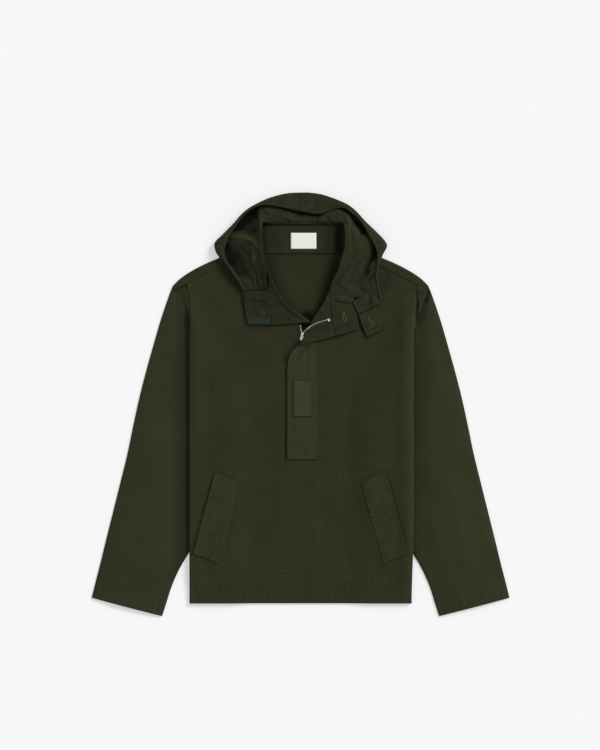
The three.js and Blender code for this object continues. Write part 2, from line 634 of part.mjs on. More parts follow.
// Two tapes across the collar strip
const TAPE_UPPER = [[-112.4, 212], [-67, 205], [-68, 219.6], [-112.9, 225.5]];
const TAPE_LOWER = [[-106.4, 160.4], [-60.4, 160.4], [-61.4, 172.4], [-107.4, 173]];
for (const [name, corners] of [['tape_upper', TAPE_UPPER], ['tape_lower', TAPE_LOWER]]) {
  const tape = sewnOn(corners, 4, 10, [collarRight.upper], TAPE.thick, TAPE.raise);
  addMesh(name, wallGeometry(tape.upper, tape.lower), TEAL, 0.85);
}

// Strap and tab sewn beside the left chin flap
const STRAP = [
  // nx, ny, nz, z1, z2, sx, sy, sz
  [115, 181, 9.6, 9.6, 9.8, 163, 204.8, 10.4],
  [109.5, 193, 12.6, 13, 13.2, 150.4, 214.4, 12.8],
  [103.6, 205.6, 14.6, 15, 15, 137.4, 224.4, 15.6],
];
const TAB = [[131.6, 134.6], [167, 151.6], [148, 199], [113, 184]];
const strap = clothWall(collarGrid(STRAP, 6));
addMesh('throat_strap', wallGeometry(strap.upper, strap.lower), OLIVE);
const tab = sewnOn(TAB, 8, 6, [frontWall.upper], TAB_THICK);
addMesh('throat_tab', wallGeometry(tab.upper, tab.lower), OLIVE);

// Slanted welts of the pouch pocket, on the front
const WELT_RIGHT = [[-215, -297], [-162, -316], [-123.6, -156.5], [-171, -134.5]];
const WELT_LEFT = [[165, -316], [214.4, -296.5], [170, -134], [120, -155.5]];
for (const [name, corners] of [['pocket_welt_right', WELT_RIGHT], ['pocket_welt_left', WELT_LEFT]]) {
  const welt = sewnOn(corners, 16, 8, [frontWall.upper], WELT.thick, WELT.raise);
  addMesh(name, wallGeometry(welt.upper, welt.lower), OLIVE);
}

// Zip: the closed chain in the slit under the placket, the two open sides, slider and pull
const chain = new THREE.BoxGeometry(ZIP.chainWidth, CHAIN_TOP - CHAIN_FOOT, ZIP.chainHeight);
chain.translate(ZIP.x, (CHAIN_TOP + CHAIN_FOOT) / 2, PITCH + ZIP.chainHeight / 2 - CHAIN_SUNK);
addMesh('zip_chain', chain, SILVER, 0.35, 0.9);

function tapeAlong(points, width, steps, beneath, thick, raise) {
  const curve = new THREE.CatmullRomCurve3(points.map(([x, y]) => new THREE.Vector3(x, y, 0)));
  const corners = [];
  for (let i = 0; i <= steps; i += 1) {
    const here = curve.getPointAt(i / steps);
    const along = curve.getTangentAt(i / steps);
    const across = [-along.y * width / 2, along.x * width / 2];
    const row = [];
    for (const side of [-1, 0, 1]) row.push([here.x + across[0] * side, here.y + across[1] * side]);
    const level = Math.max(...row.map(([x, y]) => heightAt(beneath, x, y))) + raise;
    corners.push(row.map(([x, y]) => [x, y, level]));
  }
  return { upper: corners.map((row) => row.map(([x, y, z]) => [x, y, z + thick])), lower: corners };
}
const ZIP_LEFT_ROUTE = [[14.4, 150.8], [21, 155.4], [31, 160.4], [42, 164.4], [53.4, 167.8]];
const ZIP_RIGHT_ROUTE = [[-2.6, 144.5], [-3, 151], [-3.4, 156.4]];
const ZIP_STOP_ROUTE = [[54, 168], [58.4, 169.4]];
const SIDE_RAISE = 0.4;
const zipLeft = tapeAlong(ZIP_LEFT_ROUTE, 4, 16, facingLeft.upper, 1.6, SIDE_RAISE);
const zipRight = tapeAlong(ZIP_RIGHT_ROUTE, 3, 4, frontWall.upper, 2, SIDE_RAISE);
addMesh('zip_side_left', wallGeometry(zipLeft.upper, zipLeft.lower), SILVER, 0.35, 0.9);
addMesh('zip_side_right', wallGeometry(zipRight.upper, zipRight.lower), SILVER, 0.35, 0.9);
const stop = tapeAlong(ZIP_STOP_ROUTE, 5, 2, facingLeft.upper, 2, SIDE_RAISE);
addMesh('zip_end_stop', wallGeometry(stop.upper, stop.lower), SILVER, 0.35, 0.9);

// Slider on the end of the closed chain; its ears hold the pin that the pull turns on
const PULL = {
  turn: -20, droop: 17.5, length: 12, width: 3, thick: 1, ring: 1.5, eye: 0.85, pin: 0.5, neck: 2.4,
  bladeStart: 3,
};
const SLIDER = { width: 5, length: 7, low: 4.3, high: 6.7, pinHeight: 8.4, set: 0.5 };
const EAR = { thick: 0.8, inside: 1.2, length: 2.4, above: 1, below: 0.4 };
const pullPlace = new THREE.Group();
pullPlace.position.set(ZIP.x, ZIP.y - SLIDER.set, SLIDER.pinHeight);
pullPlace.rotation.z = THREE.MathUtils.degToRad(PULL.turn);
garment.add(pullPlace);

function box(width, length, height, x, y, z) {
  const geometry = new THREE.BoxGeometry(width, length, height);
  geometry.translate(x, y, z);
  return toManifold(geometry);
}

function disc(radius, width) {
  const geometry = new THREE.CylinderGeometry(radius, radius, width, 20);
  geometry.rotateZ(Math.PI / 2);
  return toManifold(geometry);
}

const sliderMiddle = (SLIDER.low + SLIDER.high) / 2 - SLIDER.pinHeight;
let slider = box(SLIDER.width, SLIDER.length, SLIDER.high - SLIDER.low, 0, 0, sliderMiddle);
const earHeight = SLIDER.pinHeight + EAR.above - SLIDER.high + EAR.below;
for (const side of [-1, 1]) {
  const earX = side * (EAR.inside + EAR.thick / 2);
  slider = slider.add(box(EAR.thick, EAR.length, earHeight, earX, 0, EAR.above - earHeight / 2));
}
slider = slider.add(disc(PULL.pin, 2 * EAR.inside + EAR.thick));
addMesh('zip_slider', fromManifold(slider), SILVER, 0.3, 0.95, pullPlace);

const ringWidth = 2 * (EAR.inside - SEAM_GAP);
const neckMiddle = -PULL.eye - 0.3 - PULL.neck / 2;
const neck = box(ringWidth, PULL.neck, PULL.thick, 0, neckMiddle, 0);
const bladeLength = PULL.length - PULL.bladeStart;
const blade = box(PULL.width, bladeLength, PULL.thick, 0, -PULL.bladeStart - bladeLength / 2, 0);
const pull = disc(PULL.ring, ringWidth).add(neck).add(blade).subtract(disc(PULL.eye, 4));
const pullMesh = addMesh('zip_pull', fromManifold(pull), SILVER, 0.3, 0.95, pullPlace);
pullMesh.rotation.x = THREE.MathUtils.degToRad(PULL.droop);

export default garment;
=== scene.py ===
import math

import bpy
import numpy as np
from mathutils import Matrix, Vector
from mathutils.bvhtree import BVHTree


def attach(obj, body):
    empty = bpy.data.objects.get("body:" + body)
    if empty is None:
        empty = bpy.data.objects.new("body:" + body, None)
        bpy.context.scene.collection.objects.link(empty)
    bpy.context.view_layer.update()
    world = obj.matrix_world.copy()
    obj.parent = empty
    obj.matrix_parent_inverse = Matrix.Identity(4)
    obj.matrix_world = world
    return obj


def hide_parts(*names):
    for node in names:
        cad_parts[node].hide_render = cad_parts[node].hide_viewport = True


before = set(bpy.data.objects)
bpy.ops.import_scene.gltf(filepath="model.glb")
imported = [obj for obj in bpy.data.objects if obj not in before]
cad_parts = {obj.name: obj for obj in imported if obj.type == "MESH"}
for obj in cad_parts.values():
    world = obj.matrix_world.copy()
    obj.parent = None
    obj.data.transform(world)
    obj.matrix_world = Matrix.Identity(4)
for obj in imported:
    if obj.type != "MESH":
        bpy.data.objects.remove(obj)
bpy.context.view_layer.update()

# Ground, light and camera.
# The smock lies on a pale light table under a soft lamp from the upper right, and the camera looks
# straight down on it.
MM = 0.001
CAMERA_HEIGHT = 3.542
CAMERA_CENTRE = (-0.0012, 0.0591)
TABLE_HALF = 6
TABLE_DROP = 0.0004
LAMP_AIM = (-0.75, -0.62, -0.72)


def set_inputs(node, values):
    """Give inputs of a node, by name or number, their fixed values."""
    for socket, value in values.items():
        node.inputs[socket].default_value = value


table_mesh = bpy.data.meshes.new("table_top")
table_corners = [(x * TABLE_HALF, y * TABLE_HALF, 0) for x, y in ((-1, -1), (1, -1), (1, 1), (-1, 1))]
table_mesh.from_pydata(table_corners, [], [(0, 1, 2, 3)])
table_top = bpy.data.objects.new("table_top", table_mesh)
table_top.location.z = -TABLE_DROP
bpy.context.collection.objects.link(table_top)
pale = bpy.data.materials.new("pale_table")
pale.use_nodes = True
set_inputs(pale.node_tree.nodes["Principled BSDF"], {
    "Base Color": (0.5, 0.5, 0.5, 1), "Emission Color": (1, 1, 1, 1), "Emission Strength": 0.42,
    "Roughness": 0.9, "Specular IOR Level": 0.1})
table_mesh.materials.append(pale)

camera_data = bpy.data.cameras.new("camera")
camera_data.lens = 85
camera_data.sensor_width = 36
camera = bpy.data.objects.new("camera", camera_data)
camera.location = (*CAMERA_CENTRE, CAMERA_HEIGHT)
bpy.context.collection.objects.link(camera)
bpy.context.scene.camera = camera

key_data = bpy.data.lights.new("key_lamp", "SUN")
key_data.energy = 2.5
key_data.angle = math.radians(24)
key_lamp = bpy.data.objects.new("key_lamp", key_data)
key_lamp.rotation_euler = Vector(LAMP_AIM).to_track_quat("-Z", "Y").to_euler()
bpy.context.collection.objects.link(key_lamp)
world = bpy.data.worlds.new("studio")
world.use_nodes = True
set_inputs(world.node_tree.nodes["Background"], {"Color": (1, 1, 1, 1), "Strength": 0.55})
bpy.context.scene.world = world
bpy.context.scene.view_settings.view_transform = "Standard"

# Front panel.
# One width of dense olive cotton from the hem to the forward shoulder seam, its two sides folded
# behind to the side seams, with the slit for the zip and the cut-out for the neck.
CLOTH = 1.5
PITCH = 2.2
FOLD_X = 222.0
SIDE_SEAM_X = 150.0
HEM_Y = -397.0
UNDERARM_Y = 9.0
TIP_X = 257.0
TIP_Y = 234.0
SLEEVE_STACK = 3.7
ARMHOLE_SLOPE = (TIP_X - SIDE_SEAM_X) / (TIP_Y - UNDERARM_Y)
FRONT_RADIUS = 1.5 * PITCH
SIDE_FOLD_TOP = 152.0
SHOULDER_START = 228.0
SLIT = (0.4, 6.4)
SLIT_TOP = 140.0
SLIT_END = -90.0


def smooth(low, high, value):
    """Soft step from 0 at low to 1 at high."""
    t = np.clip((np.asarray(value, float) - low) / (high - low), 0, 1)
    return t * t * (3 - 2 * t)


def through(keys, places):
    """Smooth values at places counted in rows of keys."""
    keys = np.asarray(keys, float)
    places = np.clip(np.asarray(places, float), 0, len(keys) - 1)
    index = np.minimum(places.astype(int), len(keys) - 2)
    f = (places - index).reshape((-1,) + (1,) * (keys.ndim - 1))
    a, b = keys[np.maximum(index - 1, 0)], keys[index]
    c, d = keys[index + 1], keys[np.minimum(index + 2, len(keys) - 1)]
    return (b * (2 * f**3 - 3 * f**2 + 1) + (c - a) / 2 * (f**3 - 2 * f**2 + f)
            + c * (3 * f**2 - 2 * f**3) + (d - b) / 2 * (f**3 - f**2))


def uneven(x, y, scale, seed):
    """Soft random relief from -1 to 1 with lumps about scale across."""
    lattice = np.random.default_rng(seed).uniform(-1, 1, (61, 61))
    gx, gy = np.asarray(x) / scale + 500, np.asarray(y) / scale + 500
    i, j = np.floor(gx).astype(int), np.floor(gy).astype(int)
    fx, fy = smooth(0, 1, gx - i), smooth(0, 1, gy - j)
    i, j = i % 60, j % 60
    near = lattice[i, j] * (1 - fx) + lattice[i + 1, j] * fx
    far = lattice[i, j + 1] * (1 - fx) + lattice[i + 1, j + 1] * fx
    return near * (1 - fy) + far * fy


def creases(x, y, table):
    """Height of soft ridges and troughs, each a line of the plan with its half width, and the tone painted
    along each: painted shade where the tone is below zero, painted highlight where above.
    """
    height = np.zeros_like(np.asarray(x, float))
    tone = np.zeros_like(height)
    for x0, y0, x1, y1, width, rise, shade in table:
        length = math.hypot(x1 - x0, y1 - y0)
        ux, uy = (x1 - x0) / length, (y1 - y0) / length
        along = ((x - x0) * ux + (y - y0) * uy) / length
        off = (x - x0) * -uy + (y - y0) * ux
        bow = min(0.05 * length, 3.0) * np.sin(np.clip(along, 0, 1) * 2.6 + x0)
        ends = smooth(-0.14, 0.2, along) * smooth(1.14, 0.8, along)
        shape = ends * np.exp(-((off - bow) / width) ** 2)
        height += rise * shape
        tone += shade * shape
    return height, tone


def sleeve_under(y):
    """How far the sleeve beneath lifts the side of the body."""
    return SLEEVE_STACK * smooth(-385, -310, y)


def armhole_x(y):
    """Distance of the slanting armhole edge from the middle."""
    return SIDE_SEAM_X + (y - UNDERARM_Y) * ARMHOLE_SLOPE


def body_lift(x, y):
    """How far the folded side and the sleeve lift the panels, fading towards the shoulder."""
    past = (np.abs(x) - armhole_x(y)) / math.hypot(1, ARMHOLE_SLOPE)
    inside = np.minimum(np.abs(x) - SIDE_SEAM_X + 6, past)
    fade = 1 - 0.45 * smooth(150, TIP_Y, y)
    return (sleeve_under(y) + 2 * PITCH) * smooth(-55, 0, inside) * fade


SHOULDER_Y = [228, 240, 252, 266, 281, 292, 300, 318]
SHOULDER_X = [254.2, 233, 210.5, 183, 153, 130, 113, 92]
RIGHT_EDGE_Y = [152, 189, 223, 236, 244, 252, 266, 281, 292, 300]
RIGHT_EDGE_X = [221, 223, 225, 226.4, 226.4, 210.5, 183, 153, 130, 113]
LEFT_EDGE_Y = [152, 156, 166, 176, 187, 199, 210, 221, 228, 240, 252, 266, 281, 292, 300]
LEFT_EDGE_X = [225.6, 227.8, 230.8, 234.8, 238.8, 242.2, 245.6, 249.6, 254, 233, 210.5, 183, 153,
               130, 113]
SIDE_LEAN = 3.8
NECK_RIGHT = np.array([[0.4, 140], [-2, 150], [-3, 158], [-2, 178], [-14, 188], [-33.5, 207], [-52, 238],
                       [-65, 267], [-71.5, 282], [-76, 316]], float)
NECK_LEFT = np.array([[6.4, 140], [12, 152], [23, 167], [31, 181.5], [43.5, 198], [56.5, 223.5],
                      [63, 245], [74.5, 265.5], [79.5, 296], [84, 318]], float)


def panel_end(y):
    """How far out a panel's cut reaches: to the side seam, the armhole or the shoulder."""
    if y < SHOULDER_START:
        return armhole_x(max(y, UNDERARM_Y))
    return float(np.interp(y, SHOULDER_Y, SHOULDER_X))


def half_row(y, inner, low_z, main_z, strip_z, end, counts):
    """Points of half a panel row from inner out to the side edge, on the positive side."""
    main, arc, strip = counts
    start = FOLD_X - FRONT_RADIUS - CLOTH / 2
    wrapped = y <= SIDE_FOLD_TOP
    fold = start
    if not wrapped:
        fold = min(end - 4, start + (y - 150) * 0.12 if y < SHOULDER_START else end - 12)
    x = np.linspace(inner, fold, main)
    z = main_z(x, y)
    edge = float(z[-1])
    if wrapped:
        low = low_z(y, edge)
        angle = np.pi * np.arange(1, arc + 1) / arc
        x = np.append(x, fold + FRONT_RADIUS * np.sin(angle))
        z = np.append(z, (edge + low) / 2 + (edge - low) / 2 * np.cos(angle))
        reach = np.arange(1, strip + 1) / strip
        x = np.append(x, fold + (min(end, fold - 2) - fold) * reach)
        z = np.append(z, np.full(strip, low))
    else:
        low = strip_z if y < TIP_Y else float(main_z(np.array([end]), y)[0])
        t = np.arange(1, arc + strip + 1) / (arc + strip)
        x = np.append(x, fold + (end - fold) * t)
        z = np.append(z, edge + (low - edge) * smooth(0, 1, t))
    return np.column_stack([x, np.full(len(x), float(y)), z])


def lean_out(row):
    """The wearer's left side edge stands a little further out above the hem."""
    x, y = row[:, 0], row[:, 1]
    share = smooth(165, 215, x) * smooth(HEM_Y, -230, y) * smooth(158, 154, y)
    return row + np.column_stack([SIDE_LEAN * share, np.zeros(len(row)), np.zeros(len(row))])


def cloth_object(name, grid, thick=CLOTH, keep=None, tone=0.0):
    """A sheet on a grid of middle points in millimetres, its UV map laid out as the cloth was cut."""
    rows, columns = grid.shape[:2]
    points = grid.reshape(-1, 3) * MM
    index = np.arange(rows * columns).reshape(rows, columns)
    quads = np.stack([index[:-1, :-1], index[:-1, 1:], index[1:, 1:], index[1:, :-1]], axis=-1)
    quads = quads.reshape(-1, 4) if keep is None else quads[keep]
    mesh = bpy.data.meshes.new(name)
    mesh.from_pydata(points.tolist(), [], quads.tolist())
    across = np.linalg.norm(np.diff(grid, axis=1), axis=2).cumsum(axis=1)
    across = np.hstack([np.zeros((rows, 1)), across])
    across -= across[:, columns // 2:columns // 2 + 1]
    down = np.linalg.norm(np.diff(grid, axis=0), axis=2).cumsum(axis=0)
    down = np.vstack([np.zeros((1, columns)), down])
    cut = np.stack([across, down], axis=-1).reshape(-1, 2) * MM
    layer = mesh.uv_layers.new(name="cut")
    layer.data.foreach_set("uv", cut[quads.ravel()].astype(np.float32).ravel())
    mesh.polygons.foreach_set("use_smooth", np.ones(len(mesh.polygons), bool))
    # Per-point tone that the cotton multiplies into its colour: painted shade below zero, painted highlight
    # above, with some random tone.
    painted_light_and_mottle = mesh.attributes.new("tone", "FLOAT", "POINT")
    painted_light_and_mottle.data.foreach_set("value", np.broadcast_to(tone, (rows, columns)).astype(np.float32).ravel())
    mesh.update()
    piece = bpy.data.objects.new(name, mesh)
    bpy.context.collection.objects.link(piece)
    wall = piece.modifiers.new("wall", "SOLIDIFY")
    wall.thickness = thick * MM
    wall.offset = 0
    return piece


def tree_over(grid, thick=CLOTH):
    """Search tree of a sheet's upper face, for laying other pieces on it."""
    rows, columns = grid.shape[:2]
    raised = grid.reshape(-1, 3) + (0, 0, thick / 2)
    index = np.arange(rows * columns).reshape(rows, columns)
    quads = np.stack([index[:-1, :-1], index[:-1, 1:], index[1:, 1:], index[1:, :-1]], axis=-1)
    return BVHTree.FromPolygons(raised.tolist(), quads.reshape(-1, 4).tolist())


def height_on(trees, x, y, missing=0.0):
    """Highest point of the given surfaces above a point of the plan."""
    best = None
    for tree in trees:
        hit = tree.ray_cast(Vector((x, y, 200)), Vector((0, 0, -1)))[0]
        if hit is not None and (best is None or hit.z > best):
            best = hit.z
    return missing if best is None else best


def add_node(tree, kind, values=None, **settings):
    """Add a node with its settings and the fixed values of its inputs."""
    node = tree.nodes.new(kind)
    for setting, value in settings.items():
        setattr(node, setting, value)
    set_inputs(node, values or {})
    return node


def stitch_tree():
    """Node group that sets short threads end to end along every line of the geometry."""
    tree = bpy.data.node_groups.new("stitch_rows", "GeometryNodeTree")
    for label, kind in (("Geometry", "Geometry"), ("Pitch", "Float"), ("Length", "Float"),
                        ("Thickness", "Float"), ("Unevenness", "Float"), ("Seed", "Int"),
                        ("Thread", "Material")):
        tree.interface.new_socket(label, in_out="INPUT", socket_type="NodeSocket" + kind)
    tree.interface.new_socket("Geometry", in_out="OUTPUT", socket_type="NodeSocketGeometry")
    start = add_node(tree, "NodeGroupInput")
    end = add_node(tree, "NodeGroupOutput")
    curve = add_node(tree, "GeometryNodeMeshToCurve")
    spaced = add_node(tree, "GeometryNodeResampleCurve", mode="LENGTH")
    tangent = add_node(tree, "GeometryNodeInputTangent")
    turn = add_node(tree, "FunctionNodeAlignRotationToVector", axis="Z")
    half = add_node(tree, "ShaderNodeMath", {1: 0.5}, operation="MULTIPLY")
    thread = add_node(tree, "GeometryNodeMeshCylinder", {"Vertices": 5})
    low = add_node(tree, "ShaderNodeMath", {0: 1.0}, operation="SUBTRACT")
    size = add_node(tree, "FunctionNodeRandomValue", {3: 1.0}, data_type="FLOAT")
    placed = add_node(tree, "GeometryNodeInstanceOnPoints")
    real = add_node(tree, "GeometryNodeRealizeInstances")
    paint = add_node(tree, "GeometryNodeSetMaterial")
    for a, b in ((start.outputs["Geometry"], curve.inputs[0]),
                 (curve.outputs[0], spaced.inputs["Curve"]),
                 (start.outputs["Pitch"], spaced.inputs["Length"]),
                 (spaced.outputs[0], placed.inputs["Points"]),
                 (tangent.outputs[0], turn.inputs["Vector"]),
                 (turn.outputs[0], placed.inputs["Rotation"]),
                 (start.outputs["Thickness"], half.inputs[0]),
                 (half.outputs[0], thread.inputs["Radius"]),
                 (start.outputs["Length"], thread.inputs["Depth"]),
                 (thread.outputs[0], placed.inputs["Instance"]),
                 (start.outputs["Unevenness"], low.inputs[1]),
                 (low.outputs[0], size.inputs[2]),
                 (start.outputs["Seed"], size.inputs["Seed"]),
                 (size.outputs[1], placed.inputs["Scale"]),
                 (placed.outputs[0], real.inputs[0]),
                 (real.outputs[0], paint.inputs["Geometry"]),
                 (start.outputs["Thread"], paint.inputs["Material"]),
                 (paint.outputs[0], end.inputs[0])):
        tree.links.new(a, b)
    return tree


STITCH_TREE = stitch_tree()


def sewn(name, rows, trees, thread, pitch=3.4, length=2.7, thick=0.8, lift=0.25, wobble=0.35, seed=1,
         least=0.0):
    """One object of threads along plan lines, each laid on the highest of the given surfaces."""
    points, edges = [], []
    for row in rows:
        row = np.array(row, float)
        steps = np.linalg.norm(np.diff(row[:, :2], axis=0), axis=1)
        at = np.concatenate([[0], np.cumsum(steps)])
        count = max(2, int(at[-1] / 2.5) + 1)
        where = np.linspace(0, at[-1], count)
        x, y = np.interp(where, at, row[:, 0]), np.interp(where, at, row[:, 1])
        shift = wobble * uneven(x, y, 16, seed)
        first = len(points)
        for a, b in zip(x + shift, y + shift):
            z = max(height_on(trees, a, b) + lift, least)
            points.append((a * MM, b * MM, z * MM))
        edges += [(i, i + 1) for i in range(first, len(points) - 1)]
    line = bpy.data.meshes.new(name)
    line.from_pydata(points, edges, [])
    piece = bpy.data.objects.new(name, line)
    bpy.context.collection.objects.link(piece)
    rows_of = piece.modifiers.new("rows", "NODES")
    rows_of.node_group = STITCH_TREE
    values = {"Pitch": pitch * MM, "Length": length * MM, "Thickness": thick * MM, "Unevenness": 0.25,
              "Seed": seed, "Thread": thread}
    for item in STITCH_TREE.interface.items_tree:
        if item.in_out == "INPUT" and item.name in values:
            rows_of[item.identifier] = values[item.name]
    solid = bpy.data.meshes.new_from_object(piece.evaluated_get(bpy.context.evaluated_depsgraph_get()))
    piece.modifiers.clear()
    piece.data = solid
    piece.name = name
    return piece


def edge_rows(corners, insets):
    """Closed rows inside a polygon of the plan at the given distances from its edge."""
    corners = np.array(corners, float)
    middle = corners.mean(axis=0)
    rows = []
    for inset in insets:
        moved = []
        for k, corner in enumerate(corners):
            before, after = corners[k - 1], corners[(k + 1) % len(corners)]
            a = (corner - before) / np.linalg.norm(corner - before)
            b = (after - corner) / np.linalg.norm(after - corner)
            normals = [np.array([-v[1], v[0]]) for v in (a, b)]
            normals = [n if np.dot(middle - corner, n) > 0 else -n for n in normals]
            both = normals[0] + normals[1]
            moved.append(corner + both * inset / max(0.5, 0.5 * np.dot(both, both)))
        rows.append(moved + [moved[0]])
    return rows


def olive_cotton(name, dark, light, wear=0.35, weave=0.00055):
    """Dense plain-woven cotton: crossed threads, faint slubs and a slow drift of tone, its colour scaled by
    the piece's tone attribute of painted shade, painted highlight and slight random tone.
    """
    cotton = bpy.data.materials.new(name)
    cotton.use_nodes = True
    tree = cotton.node_tree
    shader = tree.nodes["Principled BSDF"]
    set_inputs(shader, {"Roughness": 0.92, "Specular IOR Level": 0.12, "Sheen Weight": 0.02,
                        "Sheen Roughness": 0.6})
    uv = add_node(tree, "ShaderNodeUVMap", uv_map="cut").outputs["UV"]
    place = add_node(tree, "ShaderNodeTexCoord")
    warp, weft = (
        add_node(tree, "ShaderNodeTexWave", {"Scale": 1 / (weave * 20), "Distortion": 0.6, "Detail": 1},
                 bands_direction=direction) for direction in "XY")
    crossed = add_node(tree, "ShaderNodeMath", operation="MAXIMUM")
    drift = add_node(tree, "ShaderNodeTexNoise", {"Scale": 16, "Detail": 5, "Roughness": 0.6})
    slub = add_node(tree, "ShaderNodeTexNoise", {"Scale": 260, "Detail": 3})
    slow = add_node(tree, "ShaderNodeMath", {1: 0.45, 2: 0.275}, operation="MULTIPLY_ADD")
    mottle = add_node(tree, "ShaderNodeMath", {1: wear}, operation="MULTIPLY_ADD")
    tone = add_node(tree, "ShaderNodeMapRange", {"From Min": 0.42, "From Max": 0.95})
    shade = add_node(tree, "ShaderNodeMix", data_type="RGBA")
    set_inputs(shade, {"A": (*dark, 1), "B": (*light, 1)})
    # The tone attribute scales the colour: painted shade where it is below zero, painted highlight where
    # above, with some random tone.
    painted_light_and_mottle = add_node(tree, "ShaderNodeAttribute", attribute_name="tone")
    gain = add_node(tree, "ShaderNodeMath", {1: 1.0}, operation="ADD")
    floor = add_node(tree, "ShaderNodeMath", {1: 0.06}, operation="MAXIMUM")
    toned = add_node(tree, "ShaderNodeVectorMath", operation="SCALE")
    relief = add_node(tree, "ShaderNodeMath", {1: 0.6}, operation="MULTIPLY_ADD")
    bump = add_node(tree, "ShaderNodeBump", {"Strength": 0.35, "Distance": 0.0002})
    for a, b in ((uv, warp.inputs["Vector"]), (uv, weft.inputs["Vector"]), (uv, slub.inputs["Vector"]),
                 (warp.outputs["Fac"], crossed.inputs[0]), (weft.outputs["Fac"], crossed.inputs[1]),
                 (place.outputs["Object"], drift.inputs["Vector"]),
                 (drift.outputs["Fac"], slow.inputs[0]), (slub.outputs["Fac"], mottle.inputs[0]),
                 (slow.outputs[0], mottle.inputs[2]), (mottle.outputs[0], tone.inputs["Value"]),
                 (tone.outputs["Result"], shade.inputs["Factor"]),
                 (painted_light_and_mottle.outputs["Fac"], gain.inputs[0]), (gain.outputs[0], floor.inputs[0]),
                 (shade.outputs["Result"], toned.inputs[0]), (floor.outputs[0], toned.inputs["Scale"]),
                 (toned.outputs["Vector"], shader.inputs["Base Color"]),
                 (slub.outputs["Fac"], relief.inputs[0]), (crossed.outputs[0], relief.inputs[2]),
                 (relief.outputs[0], bump.inputs["Height"]),
                 (bump.outputs["Normal"], shader.inputs["Normal"])):
        tree.links.new(a, b)
    return cotton


outside_cotton = olive_cotton("outside_cotton", (0.0178, 0.0187, 0.0074), (0.0275, 0.029, 0.0122))
inside_cotton = olive_cotton("inside_cotton", (0.0165, 0.0173, 0.0068), (0.0255, 0.0268, 0.0112))

FRONT_FOLDS = [
    # x0, y0, x1, y1, half width, rise, tone (painted shade below zero, painted highlight above)
    [-196, 180, -205, -60, 16, 0.9, 0.04], [-150, 130, -168, -80, 26, -0.8, -0.03],
    [-110, 60, -96, -90, 20, 0.7, 0.03], [-178, 44, -183, 12, 6, -1.2, -0.12],
    [-60, 120, -46, 20, 12, 0.8, 0.03], [100, 40, 106, -6, 9, -1.1, -0.08],
    [150, 120, 160, -60, 24, -0.9, -0.03], [205, 150, 207, -120, 10, 1.0, 0.04],
    [70, 100, 60, -60, 18, 0.7, 0.03], [-128, -160, -168, -322, 4.5, 1.4, 0.05],
    [-120, -165, -160, -325, 4, -0.7, -0.06], [112, -165, 152, -325, 8, -0.9, -0.1],
    [-30, -140, -28, -330, 7, 0.6, 0.03], [26, -150, 28, -330, 7, 0.6, 0.03],
    [-60, 150, -140, 170, 14, 0.7, 0.02], [170, 200, 205, 150, 10, -0.8, -0.04],
    [-170, 210, -205, 150, 11, -0.7, -0.04], [185, 258, 205, 225, 7, -0.8, -0.05],
    [-31, 92, -31, -104, 4, -0.8, -0.35], [-4, 130, -31, 84, 7, -0.8, -0.5],
    [232, 244, 231.5, 160, 2.6, -1.6, -0.8], [228, 250, 227, 140, 2.0, 0.9, 0.3],
    [236, 233, 250, 237, 3, 1, 0.14], [237, 222, 247, 227, 2.2, -1.1, -0.35],
    [240, 214, 246, 219, 2.4, 0.8, 0.1],
    [236, 206, 231, 170, 3, -1.4, -1.0], [253, 231, 231, 168, 2.2, 0.8, 0.34],
    [-223, 240, -220, 150, 3, 0.6, 0.16], [206, 246, 213, 180, 7, 0.5, 0.06],
    [10, 130, 90, 142, 8, -0.6, -0.28], [100, 143, 116, 150, 6, -0.4, -0.2],
    [-160, -326, -206, -312, 5, -0.5, -0.1], [150, -326, 200, -308, 5, -0.5, -0.1],
    [-104, 150, -62, 152, 5, -0.4, -0.22], [-118, 226, -112, 160, 5, -0.4, -0.22],
    [-172, 296, -120, 232, 9, -0.6, -0.25], [176, 300, 166, 226, 8, -0.6, -0.25],
    [-221, 170, -221, -400, 7, 0, 0.34], [226, 200, 226, -400, 13, 0, 0.34],
    [-60, 140, 8, 138, 26, -0.3, -0.05], [111.4, 184, 129, 133, 3.2, -0.8, -1.1],
    [131, 133, 167, 149, 2.4, -0.3, -0.6], [173, -130, 218, -297, 2.0, 0, -0.5],
    [120, -152.5, 169, -131, 1.6, 0, -0.35],
    [-174, -131, -218.5, -297, 1.8, 0, -0.4], [-170, -131.5, -122, -153.5, 1.6, 0, -0.3],
    [-158, -142, -30, -142, 5, 0, 0.08], [30, -142, 134, -142, 5, 0, 0.08],
    [-38, -115, -38, -350, 4, 0, 0.07], [36, -115, 36, -350, 4, 0, 0.07],
    [-230, -348, -74, -348, 5, 0, 0.08], [38, -348, 196, -348, 5, 0, 0.08],
]


def seam_puckers(x, y, table):
    """Short uneven gathers across each sewn line, from -1 to 1."""
    total = np.zeros_like(np.asarray(x, float))
    for x0, y0, x1, y1, width, strength in table:
        length = math.hypot(x1 - x0, y1 - y0)
        ux, uy = (x1 - x0) / length, (y1 - y0) / length
        along = (x - x0) * ux + (y - y0) * uy
        off = (x - x0) * -uy + (y - y0) * ux
        near = smooth(-6, 6, along) * smooth(length + 6, length - 6, along) * np.exp(-(off / width) ** 2)
        wave = np.sin(along * 0.56 + 3.0 * uneven(x, y, 26, 10)) * (0.5 + 0.6 * uneven(x, y, 19, 11))
        total += strength * near * wave
    return total


FRONT_PUCKERS = [
    # x0, y0, x1, y1, half width, strength
    [-38, -131, -38, -238, 7, 0.5], [-38, -240, -38, -300, 12, 1.0], [-38, -312, -38, -346, 11, 1.0],
    [36, -140, 36, -225, 9, 0.9], [36, -228, 36, -318, 6, 0.4], [36, -320, 36, -348, 12, 1.1],
    [-150, -142, -44, -142, 7, 0.6], [42, -142, 62, -142, 6, 0.4], [64, -142, 126, -142, 9, 1.0],
    [-216, -348, -92, -348, 8, 0.7], [54, -348, 181, -348, 9, 0.9], [-205, -362, 205, -362, 9, 0.6],
]


HEM_FOLD = (-366, -379)


